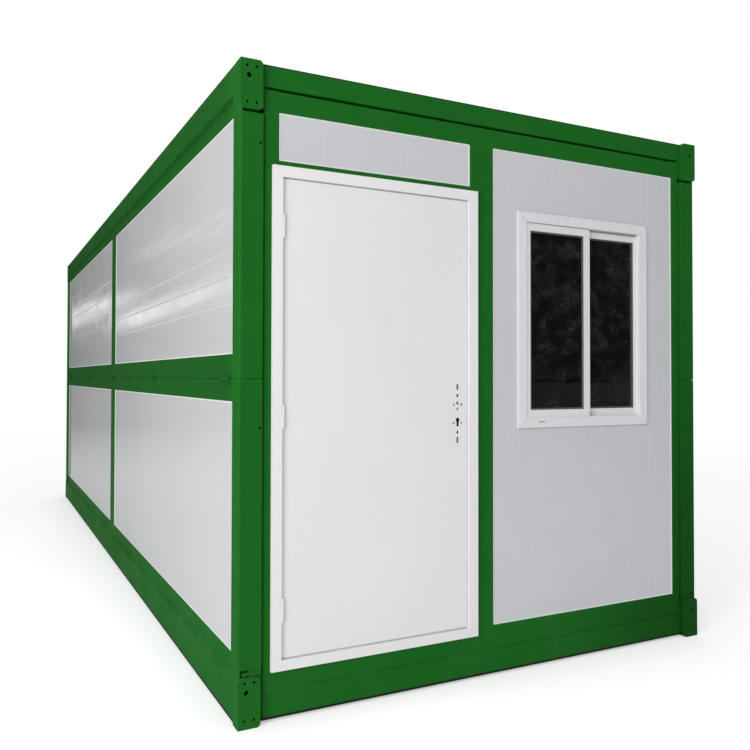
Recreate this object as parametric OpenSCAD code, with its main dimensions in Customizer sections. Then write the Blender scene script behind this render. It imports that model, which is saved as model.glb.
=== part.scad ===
// Folding container house: a steel floor and a steel roof joined by two long walls
// that are hinged at mid-height, with two end walls that hang from the roof.
// X runs across the house, Y along it and Z up. The door end faces -Y.
// The origin lies on the ground, in the middle of the plan. All sizes are in mm.

/* [Overall size] */
// Width across the corner fittings
overall_width = 2450; // [2200:10:3000]
// Length across the corner fittings
overall_length = 5800; // [5000:10:7200]
// Height from the ground to the top of the corner fittings
overall_height = 2500; // [2250:10:2900]

/* [Corner fittings] */
// Width of a fitting across the end of the house
fitting_width = 89; // [80:1:96]
// Depth of a fitting along the house
fitting_depth = 60; // [50:1:80]
// Height of a fitting
fitting_height = 188; // [176:1:204]
// Thickness of a fitting's plates
fitting_wall = 8; // [6:0.5:10]
// Radius of the two rounded corners at the end that meets the post
fitting_round = 18; // [8:1:19]
// How much is cut off the inner corner at the end away from the post
fitting_corner_cut = 10; // [2:0.5:10]
// Diameter of the lifting hole
lift_hole_d = 20; // [14:1:24]
// Lifting hole, from the outer side of the fitting
lift_hole_side = 34; // [30:1:40]
// Lifting hole of a roof fitting, below the fitting's top
lift_hole_drop = 62; // [55:1:75]
// Lifting hole of a floor fitting, above the ground
lift_hole_rise = 133; // [122:1:140]
// Diameter of the four bolt holes
bolt_hole_d = 12; // [8:1:13]
// Sideways distance between bolt holes
bolt_spacing_x = 38; // [34:1:42]
// Upright distance between bolt holes
bolt_spacing_z = 137; // [128:1:142]
// Middle of the bolt holes, from the outer side of the fitting
bolt_middle_side = 46; // [42:1:50]
// Middle of the bolt holes, below the lifting hole
bolt_middle_drop = 33; // [28:1:38]

/* [Floor] */
// Width of the floor's side beams
floor_side_beam_width = 80; // [60:1:100]
// Clear space between the ground and the floor's side beams
floor_side_beam_lift = 10; // [5:1:20]
// Height of the top of the floor's side beams
floor_side_beam_top = 157; // [148:1:165]
// Clear space between the ground and the floor's end beams
floor_end_beam_lift = 12; // [8:1:20]
// Height of the top of the floor's end beams
floor_end_beam_top = 112; // [104:1:122]
// Width of a joist
joist_width = 40; // [30:1:60]
// Height of a joist
joist_height = 60; // [50:1:75]
// Number of joists
joist_count = 9; // [5:1:12]
// Thickness of the floor boards
deck_thickness = 18; // [12:1:22]
// How far the boards lie below the top of the end beams
deck_drop = 5; // [2:1:10]

/* [Roof] */
// Width of the roof's side beams
roof_side_beam_width = 80; // [60:1:100]
// Height of the roof's side beams
roof_side_beam_height = 110; // [98:1:120]
// Height of the roof's end beams
roof_end_beam_height = 84; // [70:1:90]
// How far the top of the side beams lies below the top of the fittings
roof_side_beam_drop = 2; // [0:0.5:6]
// How far the top of the end beams lies below the top of the fittings
roof_end_beam_drop = 4; // [2:1:12]
// Thickness of the ceiling panel
ceiling_thickness = 36; // [30:1:38]
// Clear space between the ceiling panel and the end beams, where the hinges are
ceiling_end_gap = 25; // [20:1:40]
// Height of a purlin
purlin_height = 28; // [20:1:32]
// Width of a purlin
purlin_width = 40; // [30:1:60]
// Number of purlins
purlin_count = 7; // [4:1:10]
// Thickness of the roof sheet
sheet_thickness = 3; // [2:0.5:4]
// Height of the ribs of the roof sheet
rib_height = 7; // [5:1:9]
// Width of a rib at its top
rib_top_width = 40; // [25:1:60]
// Width of each sloping side of a rib
rib_slope_width = 14; // [8:1:24]
// Number of ribs
rib_count = 18; // [10:1:24]
// How far the top of the ribs lies below the top of the fittings
rib_drop = 10; // [8:1:14]

/* [Beams seen from outside] */
// How far the side beams lie behind the outer side of the fittings
side_beam_setback = 0.5; // [0:0.5:5]
// How far the end beams and end walls lie behind the outer face of the fittings
end_setback = 20; // [16:1:26]
// How far the narrow ends of the end beams, beside the fittings, lie behind the beams' face
beam_core_recess = 18; // [12:1:24]
// Thickness of the end beams and of the end walls' frames
end_frame_depth = 60; // [55:1:70]
// Outside corner radius of beams, rails and mullions
bar_radius = 5; // [2:0.5:8]

/* [Long walls] */
// How far the posts lie behind the outer side of the fittings
post_side_setback = 1; // [0:0.5:4]
// How far the posts lie behind the outer face of the fittings
post_face_setback = 10; // [7:0.5:13]
// Width of a post across the end of the house
post_width = 93; // [86:1:98]
// Depth of a post along the house
post_depth = 76; // [68:1:84]
// Radius of a post's outer corner
post_radius = 10; // [5:1:16]
// Gap between a post and the fitting above it
post_top_gap = 10; // [6:1:14]
// Width of the strip at a post's outer side that runs on beside the corner fittings
post_strip_width = 10; // [6:1:12]
// Gap between the two halves of a post
post_split_gap = 2; // [1:0.5:4]
// How far the rails and mullions lie behind the outer side of the fittings
rail_setback = 18; // [16:1:24]
// Thickness of the rails and mullions
rail_depth = 60; // [56:1:65]
// Height of the lower walls, from the floor's side beams to the fold
lower_wall_height = 1140; // [1080:10:1180]
// Height of the bottom rail
bottom_rail_height = 85; // [66:1:100]
// Height of the rail just below the fold
below_fold_rail_height = 89; // [60:1:110]
// Height of the rail just above the fold
above_fold_rail_height = 96; // [60:1:110]
// Height of the top rail
top_rail_height = 71; // [60:1:90]
// Width of the mullions at mid-length
mullion_width = 160; // [130:1:190]
// Thickness of every wall panel
panel_thickness = 50; // [40:1:52]
// How far a side panel's face lies behind the face of its frame
panel_setback = 5; // [3:1:8]
// Diameter of the bolt holes in the posts
post_hole_d = 12; // [8:1:14]
// Length of the lug on a floor fitting that locates the post
lug_length = 58; // [44:1:66]
// Height of the lug
lug_height = 9; // [6:0.5:12]
// Depth of the lug along the house
lug_depth = 18; // [12:1:24]
// How far the lug stands out from the post's face
lug_proud = 4; // [1:0.5:6]
// Clear space below the lug
lug_rise = 8; // [4:1:12]
// Clear space above the outer end of the lug
lug_headroom = 9; // [5:1:12]
// Width of the notch in the post around the outer end of the lug
notch_width = 34; // [28:1:40]
// Clear space between the lug and the post
lug_clearance = 1.5; // [1:0.5:3]
// Clear space between the outer end of the lug and the side of the notch
lug_end_gap = 6; // [3:1:8]
// Depth of the bolt holes in the posts
post_hole_depth = 14; // [8:1:30]
// Bolt holes in the posts, from the inner edge of the post
post_hole_edge = 9; // [8.5:0.5:14]
// Bolt hole in the lower half of a post, below the fold
post_hole_fold_drop = 185; // [60:5:400]
// Bolt hole in the upper half of a post, below the top of the corner fittings
post_hole_top_drop = 310; // [260:10:500]

/* [Fold hinges] */
// Number of hinges along the fold of each long wall
fold_hinge_count = 5; // [3:1:7]
// Middle of the first and last hinge, from the end of the house
fold_hinge_end = 217; // [200:1:400]
// Length of a hinge
fold_hinge_length = 118; // [80:1:150]
// Height of each hinge leaf
fold_leaf_height = 20; // [16:1:48]
// Thickness of a hinge leaf
fold_leaf_thickness = 5; // [3:0.5:6]
// Diameter of the hinge barrel
fold_barrel_d = 15; // [12:1:18]

/* [End walls] */
// Gap between an end wall and the posts, on each side
wall_side_gap = 10; // [6:1:14]
// Gap between the floor's end beam and the end wall
wall_bottom_gap = 7; // [7:1:12]
// Gap between the end wall and the roof's end beam
wall_top_gap = 10; // [8:1:14]
// Width of the stile beside the door
door_stile_width = 60; // [46:1:80]
// Width of the mullion between the doorway and the window panel
front_mullion_width = 124; // [104:1:148]
// Width of the stile beside the window panel
window_stile_width = 46; // [30:1:60]
// Height of the end walls' bottom rail
end_bottom_rail_height = 100; // [85:1:114]
// Height of the end walls' top rail
end_top_rail_height = 81; // [68:1:95]
// Height of the rail between the doorway and the transom panel
transom_rail_height = 54; // [45:1:65]
// Height of the transom panel
transom_height = 185; // [120:1:400]
// Width of both stiles of the rear wall
rear_stile_width = 56; // [40:1:80]
// Width of the rear wall's mullion
rear_mullion_width = 110; // [80:1:140]
// How far an end wall panel's face lies behind the face of its frame
end_panel_setback = 6; // [4:0.5:8]

/* [Door] */
// Width of the hole in the wall for the door frame
doorway_width = 895; // [800:5:960]
// How far the door frame's flange covers the wall at the sides
door_flange_side = 30; // [22:1:36]
// How far the door frame's flange covers the wall above
door_flange_top = 32; // [24:1:38]
// How far the door frame's flange covers the wall below
door_flange_bottom = 29; // [20:1:40]
// How far the flange stands out from the wall's face
door_flange_proud = 15; // [12:1:18]
// Thickness of the door frame above, below and on the hinge side of the leaf
door_jamb = 11; // [8:1:20]
// Thickness of the door frame on the lock side of the leaf
door_lock_jamb = 18; // [12:1:24]
// Gap all round the leaf
door_gap = 5; // [5:0.5:8]
// Thickness of the leaf
leaf_thickness = 50; // [40:1:52]
// How far the leaf's face lies behind the flange's face
leaf_recess = 10; // [10:0.5:12]
// How far the frame's stop reaches in behind the leaf
door_stop_reach = 12; // [9:1:25]
// Number of door hinges
door_hinge_count = 3; // [2:1:4]
// Length of each half of a door hinge
door_knuckle_length = 45; // [30:1:60]
// Diameter of the door hinge knuckles
door_knuckle_d = 9; // [8:0.5:9]
// Clear space between the door hinge knuckles and the leaf's face
door_knuckle_gap = 1; // [0.5:0.5:2]
// Diameter of the door hinge pins
door_pin_d = 5; // [4:0.5:6]
// Running clearance around hinge pins, on the radius
pin_clearance = 0.3; // [0.2:0.05:0.5]

/* [Door lock, with no handle fitted] */
// Middle line of the lock, from the leaf's free edge
lock_edge = 47; // [44:1:100]
// Height of the handle's spindle hole
spindle_z = 1194; // [1130:1:1250]
// Diameter of the spindle hole
spindle_hole_d = 15; // [10:1:18]
// Depth of the small locating hole's centre below the spindle hole
locating_hole_drop = 25; // [18:1:30]
// Height of the round part of the key cylinder
cylinder_z = 1122; // [1040:1:1140]
// Diameter of the round part of the key cylinder
cylinder_d = 20; // [15:1:22]
// Width of the flat part of the key cylinder
cylinder_tail_width = 12; // [8:0.5:14]
// Height of the whole key cylinder
cylinder_height = 38; // [30:1:44]
// Diameter of the screw holes beside the spindle and the cylinder
rose_hole_d = 11; // [4:0.5:12]
// Distance between the two screw holes of a pair
rose_hole_spacing = 39; // [36:1:50]
// How far the screw holes beside the spindle lie below its centre
rose_hole_drop = 6; // [2:1:12]
// How far the screw holes beside the cylinder lie below its centre
cylinder_hole_drop = 13; // [4:1:16]
// Diameter of the small locating hole
locating_hole_d = 12; // [6:1:14]
// Diameter of the plate holes above and below the lock
plate_hole_d = 15; // [5:0.5:16]
// Distance from the spindle up to the upper plate hole
upper_plate_hole = 32; // [26:1:40]
// Distance from the cylinder down to the lower plate hole
lower_plate_hole = 53; // [42:1:60]
// Distance from the upper plate hole up to the upper slot
upper_slot_offset = 37; // [26:1:44]
// Distance from the lower plate hole down to the lower slot
lower_slot_offset = 32; // [26:1:44]
// Width of the slots
slot_width = 13; // [5:1:14]
// Height of the slots
slot_height = 25; // [16:1:30]
// Depth of the lock's holes in the leaf
lock_hole_depth = 22; // [12:1:30]

/* [Window] */
// Height of the window over its flange
window_height = 977; // [800:1:1100]
// Left side of the window, from the window panel's left side
window_left_margin = 137; // [80:1:180]
// Right side of the window, from the window panel's right side
window_right_margin = 182; // [80:1:220]
// Height of the bottom of the window
window_z = 1078; // [900:1:1150]
// How far the window's flange covers the panel
window_flange = 20; // [12:1:30]
// How far the window's flange stands out from the panel
window_flange_proud = 12; // [6:1:16]
// Width of the window frame seen from outside
window_frame_width = 45; // [35:1:50]
// Thickness of the frame of a sash
sash_thickness = 18; // [14:1:19]
// Gap between the tracks of the two sashes
sash_track_gap = 3; // [2:0.5:5]
// How far the outer sash lies behind the flange's face
sash_recess = 5; // [3:0.5:8]
// Width of the left sash's outer stile
sash_stile = 25; // [16:1:40]
// Width of the right sash's outer stile
closing_stile = 18; // [14:1:40]
// Width of the two meeting stiles
meeting_stile = 38; // [30:1:56]
// Height of the sashes' bottom rails
sash_bottom_rail = 35; // [26:1:45]
// Height of the sashes' top rails
sash_top_rail = 37; // [28:1:46]
// How far the meeting stiles lie right of the middle
meeting_offset = 10.5; // [-40:0.5:40]
// Thickness of the panes
pane_thickness = 5; // [4:0.5:8]

/* [End wall hinges] */
// Number of hinges that carry each end wall
wall_hinge_count = 3; // [2:1:4]
// Distance between the first and the last hinge
wall_hinge_span = 1600; // [1200:10:1800]
// Width of a hinge
wall_hinge_width = 84; // [60:1:120]
// Height of each hinge leaf
wall_leaf_height = 45; // [30:1:60]
// Thickness of a hinge leaf
wall_leaf_thickness = 5; // [4:0.5:6]
// Diameter of the hinge barrels
wall_barrel_d = 14; // [12:0.5:15]
// Distance from the wall's inner face to the hinge axis
wall_axis_offset = 8; // [8:0.5:10]
// Diameter of the hinge pin
wall_pin_d = 8; // [5:0.5:9]
// Gap between the barrels of a hinge
barrel_gap = 2; // [1:0.5:4]

/* [Colours] */
// Painted steel frame
frame_colour = "#216426"; // ["#216426":Green, "#2f4f8f":Blue, "#808588":Grey]
// Wall panels
panel_colour = "#d3d3d6"; // ["#d3d3d6":Grey white, "#efece2":Cream]
// Door and window frames
white_colour = "#e4e2e0"; // ["#e4e2e0":White, "#c9c7c2":Grey]

/* [Hidden] */
$fn = 32;
// Overlap that makes cuts run clean through
cut = 1;

// Outer planes of the left side and of the door end
left_x = -overall_width / 2;
front_y = -overall_length / 2;

// Heights of the floor and the roof
deck_top = floor_end_beam_top - deck_drop;
deck_bottom = deck_top - deck_thickness;
roof_side_beam_top = overall_height - roof_side_beam_drop;
roof_side_beam_bottom = roof_side_beam_top - roof_side_beam_height;
roof_end_beam_top = overall_height - roof_end_beam_drop;
roof_end_beam_bottom = roof_end_beam_top - roof_end_beam_height;
roof_fitting_bottom = overall_height - fitting_height;
sheet_bottom = overall_height - rib_drop - rib_height - sheet_thickness;
ceiling_bottom = roof_end_beam_bottom;
ceiling_top = ceiling_bottom + ceiling_thickness;
purlin_bottom = sheet_bottom - purlin_height;

// The long walls
fold_z = floor_side_beam_top + lower_wall_height;
post_x = left_x + post_side_setback;
post_y = front_y + post_face_setback;
post_inner_x = post_x + post_width;
post_inner_y = post_y + post_depth;
rail_x = left_x + rail_setback;
rail_end_y = front_y + fitting_depth;
panel_x = rail_x + panel_setback;

// The end walls
wall_face_y = front_y + end_setback;
wall_back_y = wall_face_y + end_frame_depth;
wall_left = post_inner_x + wall_side_gap;
wall_right = -wall_left;
wall_bottom = floor_end_beam_top + wall_bottom_gap;
wall_top = roof_end_beam_bottom - wall_top_gap;
end_opening_bottom = wall_bottom + end_bottom_rail_height;
end_opening_top = wall_top - end_top_rail_height;
end_panel_y = wall_face_y + end_panel_setback;

// The doorway and the leaf
doorway_left = wall_left + door_stile_width;
doorway_right = doorway_left + doorway_width;
transom_bottom = end_opening_top - transom_height;
doorway_top = transom_bottom - transom_rail_height;
flange_face_y = wall_face_y - door_flange_proud;
leaf_left = doorway_left + door_jamb + door_gap;
leaf_right = doorway_right - door_lock_jamb - door_gap;
leaf_bottom = end_opening_bottom + door_jamb + door_gap;
leaf_top = doorway_top - door_jamb - door_gap;
leaf_face_y = flange_face_y + leaf_recess;
leaf_back_y = leaf_face_y + leaf_thickness;
stop_y = leaf_back_y + door_gap;
// How far the hinge axis lies inside the leaf's edge
door_axis_inset = 0.5;
door_axis_x = leaf_left + door_axis_inset;
door_axis_y = leaf_face_y - door_knuckle_d / 2 - door_knuckle_gap;
lock_x = leaf_right - lock_edge;

// The window
window_panel_left = doorway_right + front_mullion_width;
window_panel_right = wall_right - window_stile_width;
window_left = window_panel_left + window_left_margin;
window_right = window_panel_right - window_right_margin;
window_top = window_z + window_height;
glazing_left = window_left + window_frame_width;
glazing_right = window_right - window_frame_width;
glazing_bottom = window_z + window_frame_width;
glazing_top = window_top - window_frame_width;
meeting_x = (glazing_left + glazing_right) / 2 + meeting_offset;
outer_sash_y = end_panel_y - window_flange_proud + sash_recess;
inner_sash_y = outer_sash_y + sash_thickness + sash_track_gap;

// The axis that each end wall hangs from
wall_axis_y = wall_back_y + wall_axis_offset;
wall_axis_z = wall_top + wall_top_gap / 2;

// A block between two opposite corners
module block(low, high) {
    translate(low) cube(high - low);
}

// A rectangle with round corners, between two opposite corners
module rounded_rect(low, high, r) {
    translate([low.x + r, low.y]) square([high.x - low.x - 2 * r, high.y - low.y]);
    translate([low.x, low.y + r]) square([high.x - low.x, high.y - low.y - 2 * r]);
    for (x = [low.x + r, high.x - r], y = [low.y + r, high.y - r])
        translate([x, y]) circle(r);
}

// Bars with round edges that run along X, Y or Z between two opposite corners
module bar_x(low, high) {
    translate([low.x, 0, 0]) rotate([90, 0, 90]) linear_extrude(high.x - low.x)
        rounded_rect([low.y, low.z], [high.y, high.z], bar_radius);
}

module bar_y(low, high) {
    translate([0, high.y, 0]) rotate([90, 0, 0]) linear_extrude(high.y - low.y)
        rounded_rect([low.x, low.z], [high.x, high.z], bar_radius);
}

module bar_z(low, high) {
    translate([0, 0, low.z]) linear_extrude(high.z - low.z)
        rounded_rect([low.x, low.y], [high.x, high.y], bar_radius);
}

// A flat ring that faces the door end: the outer block without the inner one
module ring(low, high, inner_low, inner_high) {
    difference() {
        block(low, high);
        block([inner_low.x, low.y - cut, inner_low.z], [inner_high.x, high.y + cut, inner_high.z]);
    }
}

// A round rod along Y, X or Z that starts at a point
module rod_y(start, length, d) {
    translate(start) rotate([-90, 0, 0]) cylinder(h = length, d = d);
}

module rod_x(start, length, d) {
    translate(start) rotate([0, 90, 0]) cylinder(h = length, d = d);
}

module rod_z(start, length, d) {
    translate(start) cylinder(h = length, d = d);
}

// A piece and its mirror image on the other long side or the other end
module both_sides() {
    children();
    mirror([1, 0, 0]) children();
}

module both_ends() {
    children();
    mirror([0, 1, 0]) children();
}

// ---- Corner fittings: hollow steel boxes that are open towards the house ----

// Outline of a fitting's face, with round corners at the end that meets the post
module fitting_outline(z, round_top) {
    r = fitting_round;
    c = fitting_corner_cut;
    right_x = left_x + fitting_width;
    round_z = round_top ? z + fitting_height - r : z + r;
    // The square end, with its inner corner cut off
    far_z = round_top ? z : z + fitting_height;
    side = round_top ? 1 : -1;
    polygon([[left_x, far_z], [right_x - c, far_z], [right_x, far_z + side * c],
             [right_x, round_z], [left_x, round_z]]);
    translate([left_x + r, z + (round_top ? c : 0)])
        square([fitting_width - 2 * r, fitting_height - c]);
    for (x = [left_x + r, left_x + fitting_width - r])
        translate([x, round_z]) circle(r);
}

// A solid block with the outline of the front left fitting
module fitting_block(z, round_top) {
    translate([0, rail_end_y, 0]) rotate([90, 0, 0])
        linear_extrude(fitting_depth) fitting_outline(z, round_top);
}

// Front left fitting whose lower end is at height z, with its lifting hole at another height
module fitting(z, round_top, lift_z) {
    color(frame_colour) difference() {
        fitting_block(z, round_top);
        block([left_x + fitting_wall, front_y + fitting_wall, z + fitting_wall],
              [left_x + fitting_width - fitting_wall, rail_end_y + cut, z + fitting_height - fitting_wall]);
        rod_y([left_x + lift_hole_side, front_y - cut, lift_z], fitting_wall + 2 * cut, lift_hole_d);
        for (dx = [-1, 1], dz = [-1, 1])
            rod_y([left_x + bolt_middle_side + dx * bolt_spacing_x / 2, front_y - cut,
                   lift_z - bolt_middle_drop + dz * bolt_spacing_z / 2],
                  fitting_wall + 2 * cut, bolt_hole_d);
    }
}

// Corner of the notch in the post, and underside of the lug that stands in it
notch_x = post_x + post_strip_width;
lug_z = fitting_height + lug_rise;

// The lug on a floor fitting: a bar in front of the post and the foot that carries it
module post_lug() {
    foot_x = notch_x + notch_width / 2;
    block([notch_x + lug_end_gap, post_y - lug_proud, lug_z],
          [notch_x + lug_length, post_y + lug_depth, lug_z + lug_height]);
    block([foot_x, post_y + lug_proud, fitting_height],
          [notch_x + notch_width - lug_end_gap, post_y + lug_depth, lug_z]);
}

// The notch in the post: high around the lug's outer end and narrow along the rest
module post_notch() {
    block([notch_x, post_y - cut, fitting_height - cut],
          [notch_x + notch_width, post_y + lug_depth + lug_clearance, lug_z + lug_height + lug_headroom]);
    block([notch_x, post_y - cut, lug_z - lug_clearance],
          [notch_x + lug_length + lug_clearance, post_y + lug_depth + lug_clearance,
           lug_z + lug_height + lug_clearance]);
}

module floor_corner_front_left() {
    fitting(0, true, lift_hole_rise);
    color(frame_colour) post_lug();
}

module floor_corner_front_right() { mirror([1, 0, 0]) floor_corner_front_left(); }
module floor_corner_rear_left() { mirror([0, 1, 0]) floor_corner_front_left(); }
module floor_corner_rear_right() { mirror([0, 1, 0]) floor_corner_front_right(); }
module roof_corner_front_left() { fitting(roof_fitting_bottom, false, overall_height - lift_hole_drop); }
module roof_corner_front_right() { mirror([1, 0, 0]) roof_corner_front_left(); }
module roof_corner_rear_left() { mirror([0, 1, 0]) roof_corner_front_left(); }
module roof_corner_rear_right() { mirror([0, 1, 0]) roof_corner_front_right(); }

// ---- Floor ----

// The inner side of the floor's beams
floor_inner_x = left_x + side_beam_setback + floor_side_beam_width;

module floor_side_beams() {
    color(frame_colour) both_sides()
        bar_y([left_x + side_beam_setback, rail_end_y, floor_side_beam_lift],
              [floor_inner_x, -rail_end_y, floor_side_beam_top]);
}

// The two end beams between two heights: the full section stops short of the fittings,
// and a narrower core behind its face reaches them
module end_beams(z_low, z_high) {
    x = left_x + fitting_width;
    color(frame_colour) both_ends() union() {
        bar_x([wall_left, wall_face_y, z_low], [wall_right, wall_back_y, z_high]);
        block([x, wall_face_y + beam_core_recess, z_low + bar_radius],
              [-x, wall_back_y - bar_radius, z_high - bar_radius]);
    }
}

module floor_end_beams() { end_beams(floor_end_beam_lift, floor_end_beam_top); }

module floor_joists() {
    pitch = -2 * wall_back_y / (joist_count + 1);
    color("dimgray") for (i = [1 : joist_count]) {
        y = wall_back_y + i * pitch;
        block([floor_inner_x, y - joist_width / 2, deck_bottom - joist_height],
              [-floor_inner_x, y + joist_width / 2, deck_bottom]);
    }
}

module floor_deck() {
    color("tan") block([floor_inner_x, wall_back_y, deck_bottom], [-floor_inner_x, -wall_back_y, deck_top]);
}

// ---- Roof ----

// The inner side of the roof's beams
roof_inner_x = left_x + side_beam_setback + roof_side_beam_width;

module roof_side_beams() {
    color(frame_colour) both_sides()
        bar_y([left_x + side_beam_setback, rail_end_y, roof_side_beam_bottom],
              [roof_inner_x, -rail_end_y, roof_side_beam_top]);
}

module roof_end_beams() { end_beams(roof_end_beam_bottom, roof_end_beam_top); }

module roof_purlins() {
    pitch = -2 * wall_back_y / (purlin_count + 1);
    color("dimgray") for (i = [1 : purlin_count]) {
        y = wall_back_y + i * pitch;
        block([roof_inner_x, y - purlin_width / 2, purlin_bottom],
              [-roof_inner_x, y + purlin_width / 2, sheet_bottom]);
    }
}

// One edge of the ribbed sheet's section, at height z above the sheet's underside
function rib_edge(z) = [
    for (i = [0 : rib_count - 1])
        let (y = wall_back_y - 2 * wall_back_y * (i + 0.5) / rib_count, half = rib_top_width / 2)
        each [
            [y - half - rib_slope_width, z], [y - half, z + rib_height],
            [y + half, z + rib_height], [y + half + rib_slope_width, z]
        ]
];

function reversed(list) = [for (i = [len(list) - 1 : -1 : 0]) list[i]];

module roof_sheet() {
    low = concat([[wall_back_y, 0]], rib_edge(0), [[-wall_back_y, 0]]);
    high = concat([[wall_back_y, sheet_thickness]], rib_edge(sheet_thickness),
                  [[-wall_back_y, sheet_thickness]]);
    color("gainsboro") translate([roof_inner_x, 0, sheet_bottom]) rotate([90, 0, 90])
        linear_extrude(-2 * roof_inner_x) polygon(concat(low, reversed(high)));
}

module ceiling_panel() {
    y = wall_back_y + ceiling_end_gap;
    color("white") block([roof_inner_x, y, ceiling_bottom], [-roof_inner_x, -y, ceiling_top]);
}

// ---- Long walls: a lower and an upper frame that are hinged together ----

// Section of the front left post behind a given Y, with its outer corner rounded
module post_section(from_y) {
    r = post_radius;
    intersection() {
        translate([post_x, from_y]) square([post_width, post_inner_y - from_y]);
        union() {
            translate([post_x + r, post_y]) square([post_width - r, post_depth]);
            translate([post_x, post_y + r]) square([post_width, post_depth - r]);
            translate([post_x + r, post_y + r]) circle(r);
        }
    }
}

// Half of the front left post: it is cut back where the corner fitting sits
module post_half(z_low, z_high, wall_low, wall_high, hole_z) {
    difference() {
        union() {
            translate([0, 0, z_low]) linear_extrude(z_high - z_low) post_section(post_y);
            translate([0, 0, wall_low]) linear_extrude(wall_high - wall_low) post_section(rail_end_y);
        }
        rod_y([post_inner_x - post_hole_edge, post_y - cut, hole_z], post_hole_depth + cut, post_hole_d);
    }
}

// The strip at the outer side of a post that follows the round corner of a fitting
module post_strip(z_low, z_high, fitting_z, round_top) {
    difference() {
        translate([0, 0, z_low]) linear_extrude(z_high - z_low) intersection() {
            post_section(post_y);
            translate([post_x, post_y]) square([post_strip_width, rail_end_y - post_y]);
        }
        fitting_block(fitting_z, round_top);
    }
}

// Rails and mullion of one half of the left wall
module wall_bars(z_low, z_high, low_rail, high_rail) {
    x = rail_x + rail_depth;
    bar_y([rail_x, rail_end_y, z_low], [x, -rail_end_y, z_low + low_rail]);
    bar_y([rail_x, rail_end_y, z_high - high_rail], [x, -rail_end_y, z_high]);
    bar_z([rail_x, -mullion_width / 2, z_low + bar_radius],
          [x, mullion_width / 2, z_high - bar_radius]);
}

module left_lower_frame() {
    top = fold_z - post_split_gap / 2;
    color(frame_colour) difference() {
        union() {
            wall_bars(floor_side_beam_top, fold_z, bottom_rail_height, below_fold_rail_height);
            both_ends() post_half(fitting_height, top, floor_side_beam_top, top,
                                  fold_z - post_hole_fold_drop);
            both_ends() post_strip(fitting_height - fitting_round, fitting_height, 0, true);
        }
        both_ends() post_notch();
    }
}

module left_upper_frame() {
    bottom = fold_z + post_split_gap / 2;
    front_top = roof_fitting_bottom - post_top_gap;
    color(frame_colour) union() {
        wall_bars(fold_z, roof_side_beam_bottom, above_fold_rail_height, top_rail_height);
        both_ends() post_half(bottom, front_top, bottom, roof_side_beam_bottom,
                              overall_height - post_hole_top_drop);
        both_ends() post_strip(front_top, roof_fitting_bottom + fitting_round, roof_fitting_bottom, false);
    }
}

module right_lower_frame() { mirror([1, 0, 0]) left_lower_frame(); }
module right_upper_frame() { mirror([1, 0, 0]) left_upper_frame(); }

// The two sandwich panels of one half of the left wall
module side_panels(z_low, z_high) {
    color(panel_colour) both_ends()
        block([panel_x, post_inner_y, z_low], [panel_x + panel_thickness, -mullion_width / 2, z_high]);
}

module left_lower_panels() {
    side_panels(floor_side_beam_top + bottom_rail_height, fold_z - below_fold_rail_height);
}

module left_upper_panels() {
    side_panels(fold_z + above_fold_rail_height, roof_side_beam_bottom - top_rail_height);
}

module right_lower_panels() { mirror([1, 0, 0]) left_lower_panels(); }
module right_upper_panels() { mirror([1, 0, 0]) left_upper_panels(); }

// Hinges on the outside of the fold: two leaves and a barrel
module left_fold_hinges() {
    first = front_y + fold_hinge_end;
    pitch = -2 * first / (fold_hinge_count - 1);
    leaf_x = rail_x - fold_leaf_thickness;
    color(frame_colour) for (i = [0 : fold_hinge_count - 1]) {
        y = first + i * pitch - fold_hinge_length / 2;
        block([leaf_x, y, fold_z - fold_leaf_height],
              [rail_x, y + fold_hinge_length, fold_z + fold_leaf_height]);
        rod_y([rail_x - fold_barrel_d / 2, y, fold_z], fold_hinge_length, fold_barrel_d);
    }
}

module right_fold_hinges() { mirror([1, 0, 0]) left_fold_hinges(); }

// ---- End walls ----

module front_wall_frame() {
    low = wall_face_y;
    high = wall_back_y;
    color(frame_colour) union() {
        bar_x([wall_left, low, wall_bottom], [wall_right, high, end_opening_bottom]);
        bar_x([wall_left, low, end_opening_top], [wall_right, high, wall_top]);
        bar_z([wall_left, low, wall_bottom], [doorway_left, high, wall_top]);
        bar_z([doorway_right, low, wall_bottom + bar_radius],
              [window_panel_left, high, wall_top - bar_radius]);
        bar_z([window_panel_right, low, wall_bottom], [wall_right, high, wall_top]);
        bar_x([doorway_left - bar_radius, low, doorway_top],
              [doorway_right + bar_radius, high, transom_bottom]);
    }
}

module transom_panel() {
    color(panel_colour) block([doorway_left, end_panel_y, transom_bottom],
                              [doorway_right, end_panel_y + panel_thickness, end_opening_top]);
}

module window_panel() {
    f = window_flange;
    color(panel_colour) ring([window_panel_left, end_panel_y, end_opening_bottom],
                             [window_panel_right, end_panel_y + panel_thickness, end_opening_top],
                             [window_left + f, 0, window_z + f], [window_right - f, 0, window_top - f]);
}

// Flange over the wall, a jamb through the wall and a stop behind the leaf
module door_frame() {
    g = door_gap;
    s = door_gap - door_stop_reach;
    color(white_colour) union() {
        ring([doorway_left - door_flange_side, flange_face_y, end_opening_bottom - door_flange_bottom],
             [doorway_right + door_flange_side, wall_face_y, doorway_top + door_flange_top],
             [leaf_left - g, 0, leaf_bottom - g], [leaf_right + g, 0, leaf_top + g]);
        ring([doorway_left, wall_face_y, end_opening_bottom], [doorway_right, wall_back_y, doorway_top],
             [leaf_left - g, 0, leaf_bottom - g], [leaf_right + g, 0, leaf_top + g]);
        ring([doorway_left, stop_y, end_opening_bottom], [doorway_right, wall_back_y, doorway_top],
             [leaf_left - s, 0, leaf_bottom - s], [leaf_right + s, 0, leaf_top + s]);
    }
}

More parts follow.
